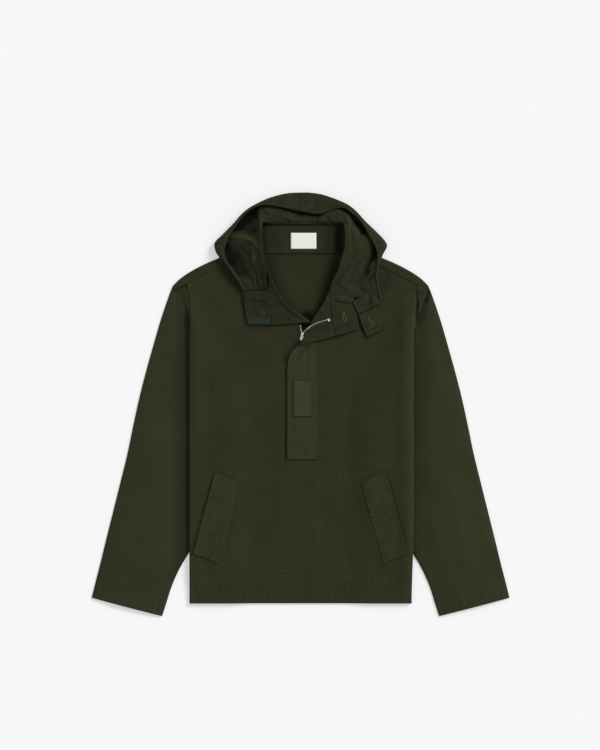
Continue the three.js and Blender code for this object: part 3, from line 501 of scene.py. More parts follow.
def front_relief(x, y):
    """Height of the front's creases, its gathers at seams and its puckered hem, and the tone painted with
    them: painted shade in troughs and painted highlight on ridges, over a slight random tone.
    """
    rise, tone = creases(x, y, FRONT_FOLDS)
    gathers = seam_puckers(x, y, FRONT_PUCKERS)
    soft = 0.45 * uneven(x, y, 95, 3) + 0.22 * uneven(x, y, 32, 4) + rise + 0.5 * gathers
    hem = smooth(*HEM_FOLD, y)
    slant = 0.9 * uneven(x, 0, 46, 7) * (y + 385)
    pucker = np.sin((x + slant) * 0.6 + 3.4 * uneven(x, y, 27, 8)) * (0.55 + 0.65 * uneven(x, y, 21, 9))
    seat = smooth(HEM_Y, HEM_Y + 7, y)
    height = soft * (1 - hem) * smooth(226, 214, np.abs(x)) + 0.9 * pucker * hem * (0.3 + 0.7 * seat)
    # Tone: painted shade in the troughs and painted highlight on the ridges of creases, gathers and hem
    # puckers, a little lighter overall and at the hem, with slight random tone.
    tone = tone + 0.04 + (0.04 + 0.18 * pucker) * hem + 0.19 * gathers + 0.03 * uneven(x, y, 60, 5)
    return height, tone


def front_z(x, y):
    """Height of the front's middle layer, with the soft roll along each side fold."""
    roll = 3.2 * np.exp(-((np.abs(x) - 207) / 13) ** 2) * smooth(196, 150, y) * smooth(-392, -340, y)
    return body_lift(x, y) + PITCH + CLOTH / 2 + 0.4 + front_relief(x, y)[0] + roll


def front_low(y, edge):
    """Height of the strip that is folded behind, the same under any edge."""
    return float(sleeve_under(y)) + CLOTH / 2


FRONT_STEPS = [
    # from y, to y, spacing of the rows
    (HEM_Y, -366, 2.4), (-366, -126, 3.0), (-126, 120, 4.2), (120, 228, 2.7), (228, 300.1, 3.0),
]
FRONT_COUNTS = (84, 10, 8)
front_rows = np.unique(np.concatenate([np.arange(*step) for step in FRONT_STEPS]))
front_grid = []
for y in front_rows:
    left_inner, right_inner = SLIT[1], SLIT[0]
    if y > SLIT_TOP:
        left_inner = np.interp(y, NECK_LEFT[:, 1], NECK_LEFT[:, 0])
        right_inner = np.interp(y, NECK_RIGHT[:, 1], NECK_RIGHT[:, 0])
    left_end = right_end = panel_end(y)
    if y > SIDE_FOLD_TOP:
        left_end = float(np.interp(y, LEFT_EDGE_Y, LEFT_EDGE_X))
        right_end = float(np.interp(y, RIGHT_EDGE_Y, RIGHT_EDGE_X))
    left = lean_out(half_row(y, left_inner, front_low, front_z, SLEEVE_STACK + CLOTH / 2 + 1,
                             left_end, FRONT_COUNTS))
    right = half_row(y, -right_inner, front_low, lambda x, yy: front_z(-x, yy),
                     SLEEVE_STACK + CLOTH / 2, right_end, FRONT_COUNTS)
    right[:, 0] *= -1
    front_grid.append(np.vstack([right[::-1], left]))
front_grid = np.array(front_grid)
front_tone = front_relief(front_grid[..., 0], front_grid[..., 1])[1]
row_mid = (front_rows[:-1] + front_rows[1:]) / 2
front_keep = np.ones((len(front_rows) - 1, front_grid.shape[1] - 1), bool)
front_keep[row_mid > SLIT_END, front_grid.shape[1] // 2 - 1] = False
front = cloth_object("front_panel", front_grid, keep=front_keep, tone=front_tone)
front.data.materials.append(outside_cotton)
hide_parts("front_body")
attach(front, "smock")
front_tree = tree_over(front_grid)
thread = olive_cotton("olive_thread", (0.042, 0.044, 0.023), (0.075, 0.078, 0.042), weave=0.0003)
SHOULDER_SEAM = np.array([[252, 231], [233, 240.6], [210, 253], [183, 266.7], [153, 281.7], [130, 292.5]])
front_rows_sewn = [
    [(-216, -374), (216, -374)], [(-155, -137), (-41, -137)], [(-155, -147), (-35, -147)],
    [(35, -137), (129, -137)], [(33, -147), (129, -147)], [(-41.2, -131), (-41.2, -331)],
    [(-35.2, -131), (-35.2, -331)], [(33, -131), (33, -331)], [(39, -131), (39, -331)],
    [(-218, -345.5), (-89, -345.5)], [(-218, -351), (-89, -351)], [(51, -345.5), (183, -345.5)],
    [(51, -351), (183, -351)], [(-35.2, -331), (-35.2, -351)], [(33, -331), (33, -351)],
]
for side in (-1, 1):
    for inset in (5.0, 10.0):
        front_rows_sewn.append([(side * (x - 0.48 * inset), y - 0.88 * inset) for x, y in SHOULDER_SEAM])
for inset in (1.2, 6.0):
    front_rows_sewn.append([(armhole_x(y) - inset, y) for y in np.linspace(168 + inset, 226, 8)])
front_sewing = sewn("front_sewing", front_rows_sewn, [front_tree], thread)
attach(front_sewing, "smock")

# Back panel.
# The same cotton, lying on the table in the middle and raised over the folded sides, cut to the
# armholes and up under the neck band.
BACK_RADIUS = 0.5 * PITCH


def back_z(x, y):
    """Height of the back panel's middle layer."""
    return body_lift(x, y) + CLOTH / 2


BACK_STEPS = [
    # from y, to y, spacing of the rows
    (HEM_Y, 120, 8.0), (120, 228, 4.0), (228, 318.1, 4.0),
]
BACK_COUNTS = (36, 6, 5)
back_rows = np.unique(np.concatenate([np.arange(*step) for step in BACK_STEPS]))
back_grid = []
for y in back_rows:
    inset = float(5 * smooth(120, 150, y) * (1 - smooth(185, 212, y)))
    half = half_row(y, 0.0, lambda yy, edge: edge - 2 * BACK_RADIUS, back_z, CLOTH,
                    panel_end(y) - inset, BACK_COUNTS)
    other = half[:0:-1] * (-1, 1, 1)
    back_grid.append(np.vstack([other, lean_out(half)]))
back_grid = np.array(back_grid)
INNER_SHADE = [
    # x0, y0, x1, y1, half width, rise, tone
    [-74, 300, -40, 215, 12, 0, -0.35], [-40, 215, 2, 160, 9, 0, -0.35], [78, 300, 50, 215, 14, 0, -0.45],
    [50, 215, 12, 155, 9, 0, -0.35], [-20, 270, 0, 210, 26, 0, 0.06], [-60, 300, 66, 300, 6, 0, -0.12],
    [16, 188, 8, 146, 13, 0, -1.0],
]
back_tone = creases(back_grid[..., 0], back_grid[..., 1], INNER_SHADE)[1]
back = cloth_object("back_panel", back_grid, tone=back_tone)
back.data.materials.append(inside_cotton)
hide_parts("back_body")
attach(back, "smock")

# Shoulder strips.
# The back cloth comes forward over each shoulder fold to the forward seam, where it is felled
# with two rows of topstitch.
SHOULDER = [
    # seam x, seam y, fold x, fold y
    [252, 231, 256.5, 236], [233, 240.6, 240, 252], [210, 253, 218, 267], [183, 266.7, 189, 282],
    [153, 281.7, 160, 294.5], [128, 293, 134, 307],
]
STRIP_STATIONS = 70
STRIP_ROUND = 4.5
STRIP_TIP_Z = 4.4
STRIP_NODES = {"shoulder_right": ("back_shoulder_right", -1), "shoulder_left": ("back_shoulder_left", 1)}
for name, (node, side) in STRIP_NODES.items():
    stations = through(SHOULDER, np.linspace(0, len(SHOULDER) - 1, STRIP_STATIONS))
    seam, fold = stations[:, :2], stations[:, 2:]
    length = np.linalg.norm(fold - seam, axis=1, keepdims=True)
    out = (fold - seam) / length
    top = np.array([float(front_z(np.array([side * sx]), sy)[0]) for sx, sy in seam])
    top -= (top - STRIP_TIP_Z) * smooth(228, 252, seam[:, 0])
    low = CLOTH / 2
    radius = (top + 1.4 - low) / 2
    bulge = np.minimum(radius, STRIP_ROUND)
    reach = length[:, 0] - bulge - CLOTH / 2
    section = [(np.full(STRIP_STATIONS, -2.4), top + 0.6), (np.full(STRIP_STATIONS, -0.6), top + 1.2)]
    for step in (0.25, 0.5, 0.75):
        section.append((reach * step, top + 1.6))
    for angle in np.linspace(0, np.pi, 10):
        section.append((reach + bulge * np.sin(angle), low + radius + radius * np.cos(angle)))
    tucked = smooth(206, 222, seam[:, 0])
    section.append((reach * (0.6 - 0.55 * tucked), low + 3.4 * tucked))
    grid = []
    for d, z in section:
        grid.append(np.column_stack([side * (seam[:, 0] + out[:, 0] * d), seam[:, 1] + out[:, 1] * d, z]))
    grid = np.array(grid).swapaxes(0, 1)
    strip = cloth_object(name, grid)
    strip.data.materials.append(outside_cotton)
    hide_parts(node)
    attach(strip, "smock")
    felled = [[(side * (x + 0.48 * d), y + 0.88 * d) for x, y in SHOULDER_SEAM[:5]] for d in (-0.2, 4.5)]
    sewing = sewn(name + "_sewing", felled, [tree_over(grid)], thread, seed=5)
    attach(sewing, "smock")

# Sleeves.
# Each is one width of cotton sewn into a tube, pressed flat under the body and puffed where it
# comes out beside it, with a wide hem stitched at the cuff.
SLEEVE = [
    # outer x, outer y, inner x, inner y
    [237, 247, 130, 22], [249, 241.6, 140, 16], [257.6, 231.4, 150.6, 9], [278.5, 172, 144, -55],
    [298, 105, 149, -110], [311, 58, 161, -157],
    [323, 10, 176, -200], [335, -45, 193, -240], [346, -98, 209, -271], [360, -155, 224, -298],
    [374, -211, 238, -321], [388, -267, 250, -345], [401, -320, 260, -370], [410, -355, 268, -396],
    [417.7, -386, 276.6, -422.85],
]
FLAT_TOP = 3.4
SLEEVE_CROWN = 7.5
SLEEVE_STATIONS = 190
SLEEVE_ACROSS = 56
CUFF_HEM = (0.9, 0.945)
SLEEVE_FOLDS = {
    # x0, y0, x1, y1, half width, rise, tone (painted shade below zero, painted highlight above; the long
    # dark strokes by the body's side fold are painted shade)
    "sleeve_right": [
        [-262, 150, -300, 20, 13, 1.0, 0.03], [-318, -60, -352, -230, 14, -1.4, -0.05],
        [-285, -20, -300, -210, 22, 1.2, 0.04], [-330, -150, -372, -300, 12, 1.0, 0.04],
        [-262, -190, -290, -300, 14, 0.9, 0.04], [-345, -290, -330, -345, 12, -0.8, -0.05],
        [-300, -330, -270, -350, 10, 0.8, 0.04], [-270, 190, -285, 90, 8, -0.9, -0.05],
        [-238, 190, -238, -400, 18, -0.5, -0.42], [-231, 236, -226, 150, 5, -0.8, -0.7],
        [-246, 238, -240, 218, 2.4, 1.0, 0.1], [-251, 230, -244, 208, 2, -1.0, -0.3],
        [-240, 226, -236, 202, 2.2, -0.9, -0.3], [-236, 214, -234, 190, 2.4, 0.8, 0.08],
        [-256, 222, -252, 200, 2.2, 0.8, 0.1], [-246, 204, -243, 186, 2.4, -0.6, -0.15]],
    "sleeve_left": [
        [262, 150, 285, 20, 11, 1.3, 0.04], [300, 60, 332, -120, 16, 1.2, 0.05],
        [320, -60, 352, -250, 20, -1.1, -0.05], [300, -140, 330, -320, 18, 1.1, 0.04],
        [352, -190, 384, -300, 12, 1.3, 0.05], [262, -210, 292, -330, 13, 0.9, 0.04],
        [278, 180, 292, 110, 8, -1.0, -0.04], [229, 176, 229, -400, 10, -0.3, -0.3],
        [257.5, 231, 249, 204, 3.6, -1.4, -1.0], [251, 210, 234, 160, 7, -0.8, -0.5]],
}
CUFF_ROW = {"sleeve_right": (-401, -331, -265, -367), "sleeve_left": (399, -331, 259, -361)}
for name, side in (("sleeve_right", -1), ("sleeve_left", 1)):
    folds = SLEEVE_FOLDS[name]
    stations = through(SLEEVE, np.linspace(0, len(SLEEVE) - 1, SLEEVE_STATIONS))
    outer, inner = stations[:, :2], stations[:, 2:]
    width = np.linalg.norm(outer - inner, axis=1)
    along = np.linspace(0, 1, SLEEVE_STATIONS)
    hem = smooth(*CUFF_HEM, along)
    t = (1 - np.cos(np.linspace(0, np.pi, SLEEVE_ACROSS))) / 2
    upper, lower = [], []
    for a in t:
        place = inner + (outer - inner) * ((CLOTH / 2 + (width - CLOTH) * a) / width)[:, None]
        x, y = place[:, 0], place[:, 1]
        clear = smooth(FOLD_X + 8, FOLD_X + 46, x)
        below = smooth(-330, -300, y)
        shown = clear * below + (1 - below)
        bow = math.sin(math.pi * a) ** 0.62 if 0 < a < 1 else 0.0
        cuff = 1 - 0.35 * smooth(0.82, 1.0, along)
        lip = smooth(0, 0.06, along) * 0.75 + 0.25
        soft = 0.7 * uneven(x * side, y, 70, 21 + side) + 0.4 * uneven(x, y, 26, 31)
        soft = soft + creases(side * x, y, folds)[0]
        pucker = np.sin(a * 62 + 2.6 * uneven(x, y, 28, 33)) * (0.5 + 0.5 * uneven(x, y, 22, 34)) * hem
        height = (SLEEVE_CROWN + soft * 1.2) * bow * shown * lip * cuff + 0.6 * pucker * bow
        rounded = min(1.0, math.sqrt(max(0.0, 4 * a * (1 - a) * 9)))
        half = (FLAT_TOP / 2 - CLOTH / 2) * rounded
        upper.append(np.column_stack([side * x, y, FLAT_TOP / 2 + half + height]))
        lower.append(np.column_stack([side * x, y, np.full(SLEEVE_STATIONS, FLAT_TOP / 2 - half)]))
    grid = np.array([*upper, *lower[-2:0:-1], upper[0]]).swapaxes(0, 1)
    x, y = grid[..., 0], grid[..., 1]
    # Sleeve tone: painted shade beside the body's side fold and in troughs, painted highlight on ridges,
    # stripes of painted light and shade across the puckered cuff, lighter overall, with slight random tone.
    tone = 0.2 + creases(x, y, folds)[1] + 0.05 * uneven(x, y, 50, 35)
    tone += 0.06 * hem[:, None] * np.sin(np.linspace(0, 124, grid.shape[1]))
    sleeve = cloth_object(name + "_cloth", grid, tone=tone)
    sleeve.data.materials.append(outside_cotton)
    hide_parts(name)
    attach(sleeve, "smock")
    x0, y0, x1, y1 = CUFF_ROW[name]
    sewing = sewn(name + "_sewing", [[(x0, y0), (x1, y1)]], [tree_over(grid[:, :SLEEVE_ACROSS])],
                  thread, wobble=1.2, seed=7)
    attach(sewing, "smock")

# Hood.
# Two halves of cotton joined by a felled centre seam. The cloth stands up round the neck, falls
# outwards, turns over at the outline and comes back to the stitched casing of the rim.
HOOD_RIGHT = [
    # nx, ny, nz, z1, z2, z3, z4, ox, oy, oz, mx, my, mz
    [14.6, 360, 7, 8, 6, 4, 1, 14.6, 422.9, 7, 14.6, 382.5, 12],
    [-20, 360.5, 7, 9, 8, 5, 1, -24.6, 421.7, 7, -24, 390.5, 13],
    [-55, 361, 9, 12, 12, 8, 1, -60, 413.5, 8, -60, 397, 16],
    [-74, 363, 20, 20, 15, 9, 2, -90, 400, 10, -83, 396, 19],
    [-77, 350, 26, 24, 14, 5, 2, -113, 385, 10, -110, 380, 20],
    [-78, 338, 27, 24, 12, 4, 2, -135, 360.5, 10, -127, 358, 20],
    [-77, 322, 28, 24, 16, 12, 2, -157, 338, 10, -140, 339, 20],
    [-75, 305, 28, 23, 15, 7, 3, -171, 323, 10, -148, 322, 20],
    [-72.5, 290, 27, 22, 14, 7, 5, -170, 307, 11, -152, 304, 20],
    [-70, 276, 27, 21, 13, 8, 7, -161, 292.5, 12, -149, 290, 19],
    [-68.5, 262, 26, 19, 13, 9, 9, -147, 277, 14, -142, 275, 18],
    [-67.5, 245, 24, 17, 12, 10, 10, -130, 253, 14, -126, 252, 17],
    [-66.4, 229, 21, 15, 11, 9, 9, -115, 228.5, 11, -112, 228, 13],
]
HOOD_LEFT = [
    # nx, ny, nz, z1, z2, z3, z4, ox, oy, oz, mx, my, mz
    [13.8, 360, 7, 8, 6, 4, 1, 13.8, 422.9, 7, 13.8, 382.5, 12],
    [40, 360, 7, 10, 9, 6, 1, 39, 419.7, 7, 38, 380, 13],
    [66, 360.5, 9, 13, 13, 8, 1, 64.6, 412, 8, 62, 388, 15],
    [84, 361, 20, 20, 18, 10, 2, 92, 400.5, 9, 86, 391.5, 20],
    [87, 352, 26, 25, 22, 12, 2, 110, 387, 10, 103, 380, 20],
    [88, 340, 27, 26, 23, 12, 2, 130, 365.5, 10, 121, 362.5, 20],
    [87.5, 326, 28, 27, 24, 13, 2, 150, 346, 10, 134, 341, 20],
    [86.5, 312, 28, 27, 23, 13, 3, 168, 326.5, 10, 142, 327, 20],
    [84, 302, 28, 26, 22, 12, 5, 172, 315, 11, 148, 315, 20],
    [80, 288, 27, 25, 21, 11, 8, 164, 299, 12, 153, 299, 18],
    [75, 270, 26, 24, 20, 10, 11, 157, 278, 13, 153, 278, 15],
    [66, 252, 25, 23, 19, 10, 11, 154.5, 254, 12, 151, 254, 14],
    [60, 238, 23, 21, 18, 11, 11, 157, 234, 11, 154, 234, 13],
    [57, 226, 21, 18, 15, 11, 10, 162, 212, 10, 159, 212, 12],
    [56, 219, 19.2, 15.5, 13, 10, 9.5, 161, 209, 9.4, 158, 209, 11.4],
]
INSIDE_AT = (0.1, 0.36, 0.66, 0.9)
NECK_FLANK = 3.5
NECK_FOOT = 4.7
HOOD_FOLDS = {
    # x0, y0, x1, y1, half width, rise, tone (painted shade below zero, painted highlight above; the darkest
    # strokes are painted shadow in the hollows under the rim)
    "hood_right": [
        [-138, 344, -84, 393, 7, -4, -1.15], [-124, 346, -88, 384, 9, -4, -0.95],
        [-110, 340, -88, 350, 8, -2, -0.4], [-112, 352, -92, 372, 3, 1, 0.25],
        [-144, 334, -102, 331, 4.5, 3, 0.5], [-106, 331, -80, 308, 5, 3, 0.4],
        [-96, 300, -88, 262, 4, 1.4, 0.2],
        [-146, 324, -138, 276, 8, -0.6, -1.05], [-140, 290, -124, 254, 4.5, -1, -0.6],
        [-128, 310, -114, 252, 9, -3.0, -0.62], [-122, 318, -98, 296, 7, -1, -0.3],
        [-100, 312, -92, 240, 4, 2.5, 0.12],
        [-108, 268, -96, 236, 2.6, -2, -0.25], [-82, 392, -80, 284, 4, 3, 0.2],
        [-71, 391, -10, 366, 5, 4, 0.18], [-62, 384, -20, 363, 2.2, -1.6, -0.3],
        [-76, 361, 14, 361, 1.8, -1, -0.3],
        [-72, 372, -30, 362, 3, -1.5, -0.2], [-12, 374, -8, 362, 1.8, -1.2, -0.3],
        [0, 374, -2, 362, 1.8, 1.2, 0.1], [-90, 288, -86, 232, 3, -2.2, -0.35],
        [-84, 276, -80, 234, 2, 1.6, 0.12], [-132, 296, -120, 262, 3, 1.6, 0.12]],
    "hood_left": [
        [64, 401, 98, 382, 3.4, -3, -0.85],
        [98, 382, 128, 342, 4, -4, -0.85], [112, 366, 128, 336, 7, -3, -0.5],
        [150, 322, 143, 284, 6, -2, -0.95], [142, 292, 131, 250, 6, -1.5, -0.5],
        [140, 300, 120, 240, 3, -1.4, -0.3], [148, 284, 138, 268, 2, 1.8, 0.5],
        [152, 272, 142, 252, 2.2, -1.8, -0.7], [143, 266, 132, 250, 1.8, 1.6, 0.5],
        [152, 292, 142, 282, 1.8, 1.6, 0.45], [153, 262, 146, 244, 1.8, 1.4, 0.4],
        [140, 254, 130, 240, 2, -1.4, -0.6],
        [146, 276, 136, 261, 1.8, -1.6, -0.6],
        [86, 389, 34, 366, 6, 4, 0.18], [30, 380, 26, 363, 2.2, 2, 0.12],
        [36, 378, 32, 362, 1.8, -2, -0.4], [46, 376, 42, 362, 2.2, 1.6, 0.1],
        [52, 374, 62, 362, 2.6, -1.6, -0.25], [14, 361, 88, 361, 1.8, -1, -0.3],
        [94, 388, 92, 300, 6, 2.4, 0.24], [97, 376, 114, 338, 7, 0.6, 0.16],
        [130, 352, 118, 338, 3.4, -2.2, -0.95], [103, 366, 104, 318, 3, -1.4, -0.2],
        [112, 350, 112, 300, 6, 1.6, 0.08],
        [136, 322, 70, 222, 3.4, 1.6, 0.12], [128, 318, 62, 226, 3, -1.6, -0.22],
        [118, 290, 90, 236, 3, -1.4, -0.2], [104, 286, 80, 250, 2.4, 1.2, 0.1],
        [158, 296, 138, 240, 4, -1.4, -0.3], [96, 250, 130, 226, 5, -1.2, -0.22],
        [64, 216, 78, 214, 3, -2, -0.3], [120, 262, 134, 222, 3, 1.5, 0.1]],
}
# Painted shadow in the dark gaps under the rim band by the centre seam (the tone column).
CENTRE_FOLDS = [[-48, 397, 8, 381, 4, -4, -0.65], [-4, 384, 46, 381, 5, -5, -0.8]]
HOOD_STATIONS = 150
SHORT_ROW_PITCH = 2.6
HOOD_SEWING = {
    # seam x, x of the short upright rows, ends of the short rows across
    "hood_right": (10, (-25, -21, -17, -13, -9), (-26, -8)),
    "hood_left": (18.5, (19, 23), (15, 23)),
}
for name, table in (("hood_right", HOOD_RIGHT), ("hood_left", HOOD_LEFT)):
    s = through(table, np.linspace(0, len(table) - 1, HOOD_STATIONS))
    neck, edge, rim = s[:, 0:2], s[:, 7:9], s[:, 10:12]
    nz, z4, oz, mz = s[:, 2], s[:, 6], s[:, 9], s[:, 12]
    out = (edge - neck) / np.linalg.norm(edge - neck, axis=1, keepdims=True)
    keys = [
        (neck + out * NECK_FLANK, np.full(HOOD_STATIONS, NECK_FOOT)),
        (neck + out * 1.6, (NECK_FOOT + nz) / 2),
        (neck + out * 0.8, nz),
        *((neck + (edge - neck) * at, s[:, 3 + k]) for k, at in enumerate(INSIDE_AT)),
        (edge - out * 1.6, z4 + (oz - z4) * 0.4),
        (edge - out * 0.8, oz),
        (edge - out * 1.8, oz + (mz - oz) * 0.55),
        (edge + (rim - edge) * 0.45, mz - 0.5),
        (rim, mz),
    ]
    keys = np.array([np.column_stack(key) for key in keys])
    places = np.concatenate([
        np.linspace(0, 3, 16)[:-1], np.linspace(3, 6, 34)[:-1], np.linspace(6, 11, 36)])
    grid = through(keys, places).swapaxes(0, 1).copy()
    x, y = grid[..., 0], grid[..., 1]
    inside = smooth(1.8, 3.0, places) * smooth(6.6, 5.4, places)
    band = smooth(8.2, 9.4, places)
    rise, tone = creases(x, y, HOOD_FOLDS[name] + CENTRE_FOLDS)
    grain = 0.8 * uneven(x, y, 19, 41) + 0.8 * uneven(x + y, y - x, 12, 43) + 0.3 * uneven(x, y, 6, 45)
    run = np.concatenate([[0], np.cumsum(np.linalg.norm(np.diff(edge, axis=0), axis=1))])[:, None]
    drawn = np.sin(run * 0.7 + 3.8 * uneven(x, y, 22, 46)) * (0.5 + 0.7 * uneven(x, y, 15, 47))
    drawn *= smooth(395, 350, y) * smooth(8.0, 8.8, places)
    grid[..., 2] += (rise + grain) * inside
    grid[..., 2] += (0.6 * uneven(x, y, 30, 42) + 0.3 * uneven(x, y, 9, 44)) * band + 0.5 * drawn
    grid[..., 2] = np.maximum(grid[..., 2], CLOTH / 2)
    # Hood tone: painted shade inside the hood and in its troughs and gaps, painted highlight on its ridges
    # and on the gathered casing, and a dark line of painted shade at the foot of the neck flank; the rim
    # band has random tone and grows darker towards its top.
    tone = (tone - 0.12 + 0.1 * grain) * inside
    tone += (0.12 * uneven(x, y, 8, 44) - 0.17 * smooth(350, 390, y)) * band
    tone -= (0.65 - 0.45 * smooth(330, 356, y)) * smooth(2.6, 1.6, places)
    tone += 0.27 * drawn
    hood = cloth_object(name + "_cloth", grid, tone=tone)
    hood.data.materials.append(outside_cotton)
    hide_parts(name)
    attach(hood, "smock")
    seam_x, upright, across = HOOD_SEWING[name]
    rows = []
    for at in (0.12, 0.3):
        rows.append([tuple(rim[k] + (edge[k] - rim[k]) * at) for k in range(0, HOOD_STATIONS, 4)])
    rows += [[(place, 396), (place, 418)] for place in upright]
    rows += [[(seam_x, 386), (seam_x, 420)], [(seam_x, 362.5), (seam_x, 377)]]
    rows += [[(across[0], height), (across[1], height)] for height in np.arange(393, 419, SHORT_ROW_PITCH)]
    sewing = sewn(name + "_sewing", rows, [tree_over(grid)], thread, seed=9)
    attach(sewing, "smock")

# Neck band.
# A straight band of the cotton felled round the inside of the back neck, with a row of topstitch.
# It lies on the back panel, and its ends and upper edge run under the hood's neck seam.
NECK_BAND = (-90, 99, 302, 373)
BAND_COUNTS = (102, 37)
BAND_HEIGHT = 2.75
BAND_FOLDS = [
    # x0, y0, x1, y1, half width, rise, tone (painted shade below zero, painted highlight above; the dark
    # sides and top line are painted shade under the hood's walls)
    [-50, 340, -50, 322, 8, 0.5, -0.1],
    [79, 360, 77, 300, 8, -0.5, -0.8], [-72, 360, -70, 300, 7, -0.5, -0.5], [52, 356, 54, 306, 7, -1, -0.3],
    [-70, 354, 82, 354, 1.6, 0.5, 0.12], [-76, 361.5, 86, 361.5, 2.2, 0, -0.4],
]
band_x, band_y = np.linspace(*NECK_BAND[:2], BAND_COUNTS[0]), np.linspace(*NECK_BAND[2:], BAND_COUNTS[1])
bx, by = np.meshgrid(band_x, band_y)
band_rise, band_tone = creases(bx, by, BAND_FOLDS)
from_dent = np.hypot((bx + 50.6) / 13, (by - 331.3) / 17) + 0.16 * uneven(bx, by, 13, 53)
dent = np.exp(-((from_dent - 1) / 0.2) ** 2) * (0.65 + 0.5 * uneven(bx, by, 12, 54))
band_rise -= 0.8 * dent
# Painted shade along the round dent; the disc inside it is a little darker.
band_tone -= 0.32 * dent + 0.14 * smooth(1.0, 0.6, from_dent)
under_seam = np.maximum(smooth(361, 367, by), np.maximum(smooth(83, 89, bx), smooth(-73, -79, bx)))
band_z = BAND_HEIGHT + 0.4 * uneven(bx, by, 24, 51) + band_rise + 0.9 * under_seam
band_grid = np.stack([bx, by, band_z], axis=-1)
band = cloth_object("neck_band", band_grid, tone=band_tone - 0.03 + 0.08 * uneven(bx, by, 14, 52))
band.data.materials.append(inside_cotton)
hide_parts("back_neck_band")
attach(band, "smock")
band_tree = tree_over(band_grid)
band_sewing = sewn("neck_band_sewing", [[(-68, 353), (82, 353)], [(-58, 304.5), (68, 304.5)]],
                   [band_tree], thread, seed=11)
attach(band_sewing, "smock")


# Neck label.
# A bare cream label of satin weave, 51 mm by 32 mm, fixed flat on the neck band in the middle of
# the back neck.
LABEL = [(-19.6, 311), (31.4, 311), (31.4, 343), (-19.6, 343)]
LABEL_WALL = 0.6


def laid_grid(corners, rows, columns, trees, raise_by, thick):
    """Grid over four plan corners, lying on the surfaces beneath it."""
    a, b, c, d = (np.array(corner, float) for corner in corners)
    grid = np.zeros((rows + 1, columns + 1, 3))
    for i in range(rows + 1):
        for j in range(columns + 1):
            u, v = j / columns, i / rows
            x, y = (a * (1 - u) + b * u) * (1 - v) + (d * (1 - u) + c * u) * v
            grid[i, j] = (x, y, height_on(trees, x, y) + raise_by + thick / 2)
    return grid


def plain_material(name, colour, roughness, metallic=0.0, grain=0.0, scale=900.0):
    """One even finish with a fine ribbed or brushed grain in its bump."""
    finish = bpy.data.materials.new(name)
    finish.use_nodes = True
    tree = finish.node_tree
    shader = tree.nodes["Principled BSDF"]
    set_inputs(shader, {"Roughness": roughness, "Metallic": metallic,
                        "Specular IOR Level": 0.5 if metallic else 0.15})
    place = add_node(tree, "ShaderNodeTexCoord")
    noise = add_node(tree, "ShaderNodeTexNoise", {"Scale": scale, "Detail": 4})
    mix = add_node(tree, "ShaderNodeMix", data_type="RGBA")
    set_inputs(mix, {"A": (*(0.82 * c for c in colour), 1), "B": (*(min(1, 1.12 * c) for c in colour), 1)})
    bump = add_node(tree, "ShaderNodeBump", {"Strength": grain, "Distance": 0.0002})
    for a, b in ((place.outputs["Object"], noise.inputs["Vector"]),
                 (noise.outputs["Fac"], mix.inputs["Factor"]),
                 (mix.outputs["Result"], shader.inputs["Base Color"]),
                 (noise.outputs["Fac"], bump.inputs["Height"]),
                 (bump.outputs["Normal"], shader.inputs["Normal"])):
        tree.links.new(a, b)
    return finish


label_satin = plain_material("label_satin", (0.83, 0.825, 0.745), 0.55, grain=0.2)
label_grid = laid_grid(LABEL, 12, 20, [band_tree], raise_by=0.25, thick=LABEL_WALL)
label = cloth_object("neck_label_patch", label_grid, LABEL_WALL)
label.data.materials.append(label_satin)
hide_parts("neck_label")
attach(label, "smock")

# Placket flap and its label.
# A doubled strip that covers the zip, topstitched down its right side and across its foot. A
# narrow bare patch is sewn on it.
EDGE_Y = [-110, 70, 82, 92, 102, 109, 114, 118, 121, 124, 127]
EDGE_X = [-27, -27, -26, -24, -19.6, -15, -9.6, -4, 2, 10, 20]
PLACKET_RIGHT = 35
PLACKET_COUNTS = (121, 36)
PLACKET_LIFT = 1.35
DOUBLED = 2.0
PATCH = [(-15, -23.5), (21.6, -23.5), (21.6, 48), (-15, 48)]
PATCH_CENTRE = (3.3, 12.25)
PATCH_HALF = (18.3, 35.75)
PATCH_WALL = 0.8
placket_grid = np.zeros((*PLACKET_COUNTS, 3))
for i, y in enumerate(np.linspace(EDGE_Y[0], EDGE_Y[-1], PLACKET_COUNTS[0])):
    edge_x = float(np.interp(y, EDGE_Y, EDGE_X))
    for j, x in enumerate(np.linspace(edge_x, PLACKET_RIGHT, PLACKET_COUNTS[1])):
        placket_grid[i, j] = (x, y, height_on([front_tree], x, y) + PLACKET_LIFT)
px, py = placket_grid[..., 0], placket_grid[..., 1]
from_edge = px - np.interp(py, EDGE_Y, EDGE_X)
placket_grid[..., 2] += 0.35 * uneven(px, py, 18, 61) + 0.9 * smooth(6, 1, from_edge)
placket_grid[..., 2] -= 1.5 * smooth(20, PLACKET_RIGHT, px)
PLACKET_FOLDS = [
    # x0, y0, x1, y1, half width, rise, tone (painted shade below zero, painted highlight above)
    [6, 110, 20, 118, 3, -1.4, -0.6], [2, 110, -8, 86, 3, -1.0, -0.2], [8, 112, -2, 78, 4, 1.2, 0.08],
    [18, 108, 8, 66, 4, -0.9, -0.12], [-22, -74, 8, -74, 1.8, -0.5, -0.25],
    [-10, 60, -4, -60, 5, 0.5, 0.05], [10, -74, 10, -106, 1.8, -0.4, -0.2],
    [-22, -80, -20, -104, 6, 0.3, 0.06], [24, 100, 26, -100, 4, 0.4, 0.06],
]
rise, tone = creases(px, py, PLACKET_FOLDS)
placket_grid[..., 2] += rise
around = np.maximum(np.abs(px - PATCH_CENTRE[0]) - PATCH_HALF[0],
                    np.abs(py - PATCH_CENTRE[1]) - PATCH_HALF[1])
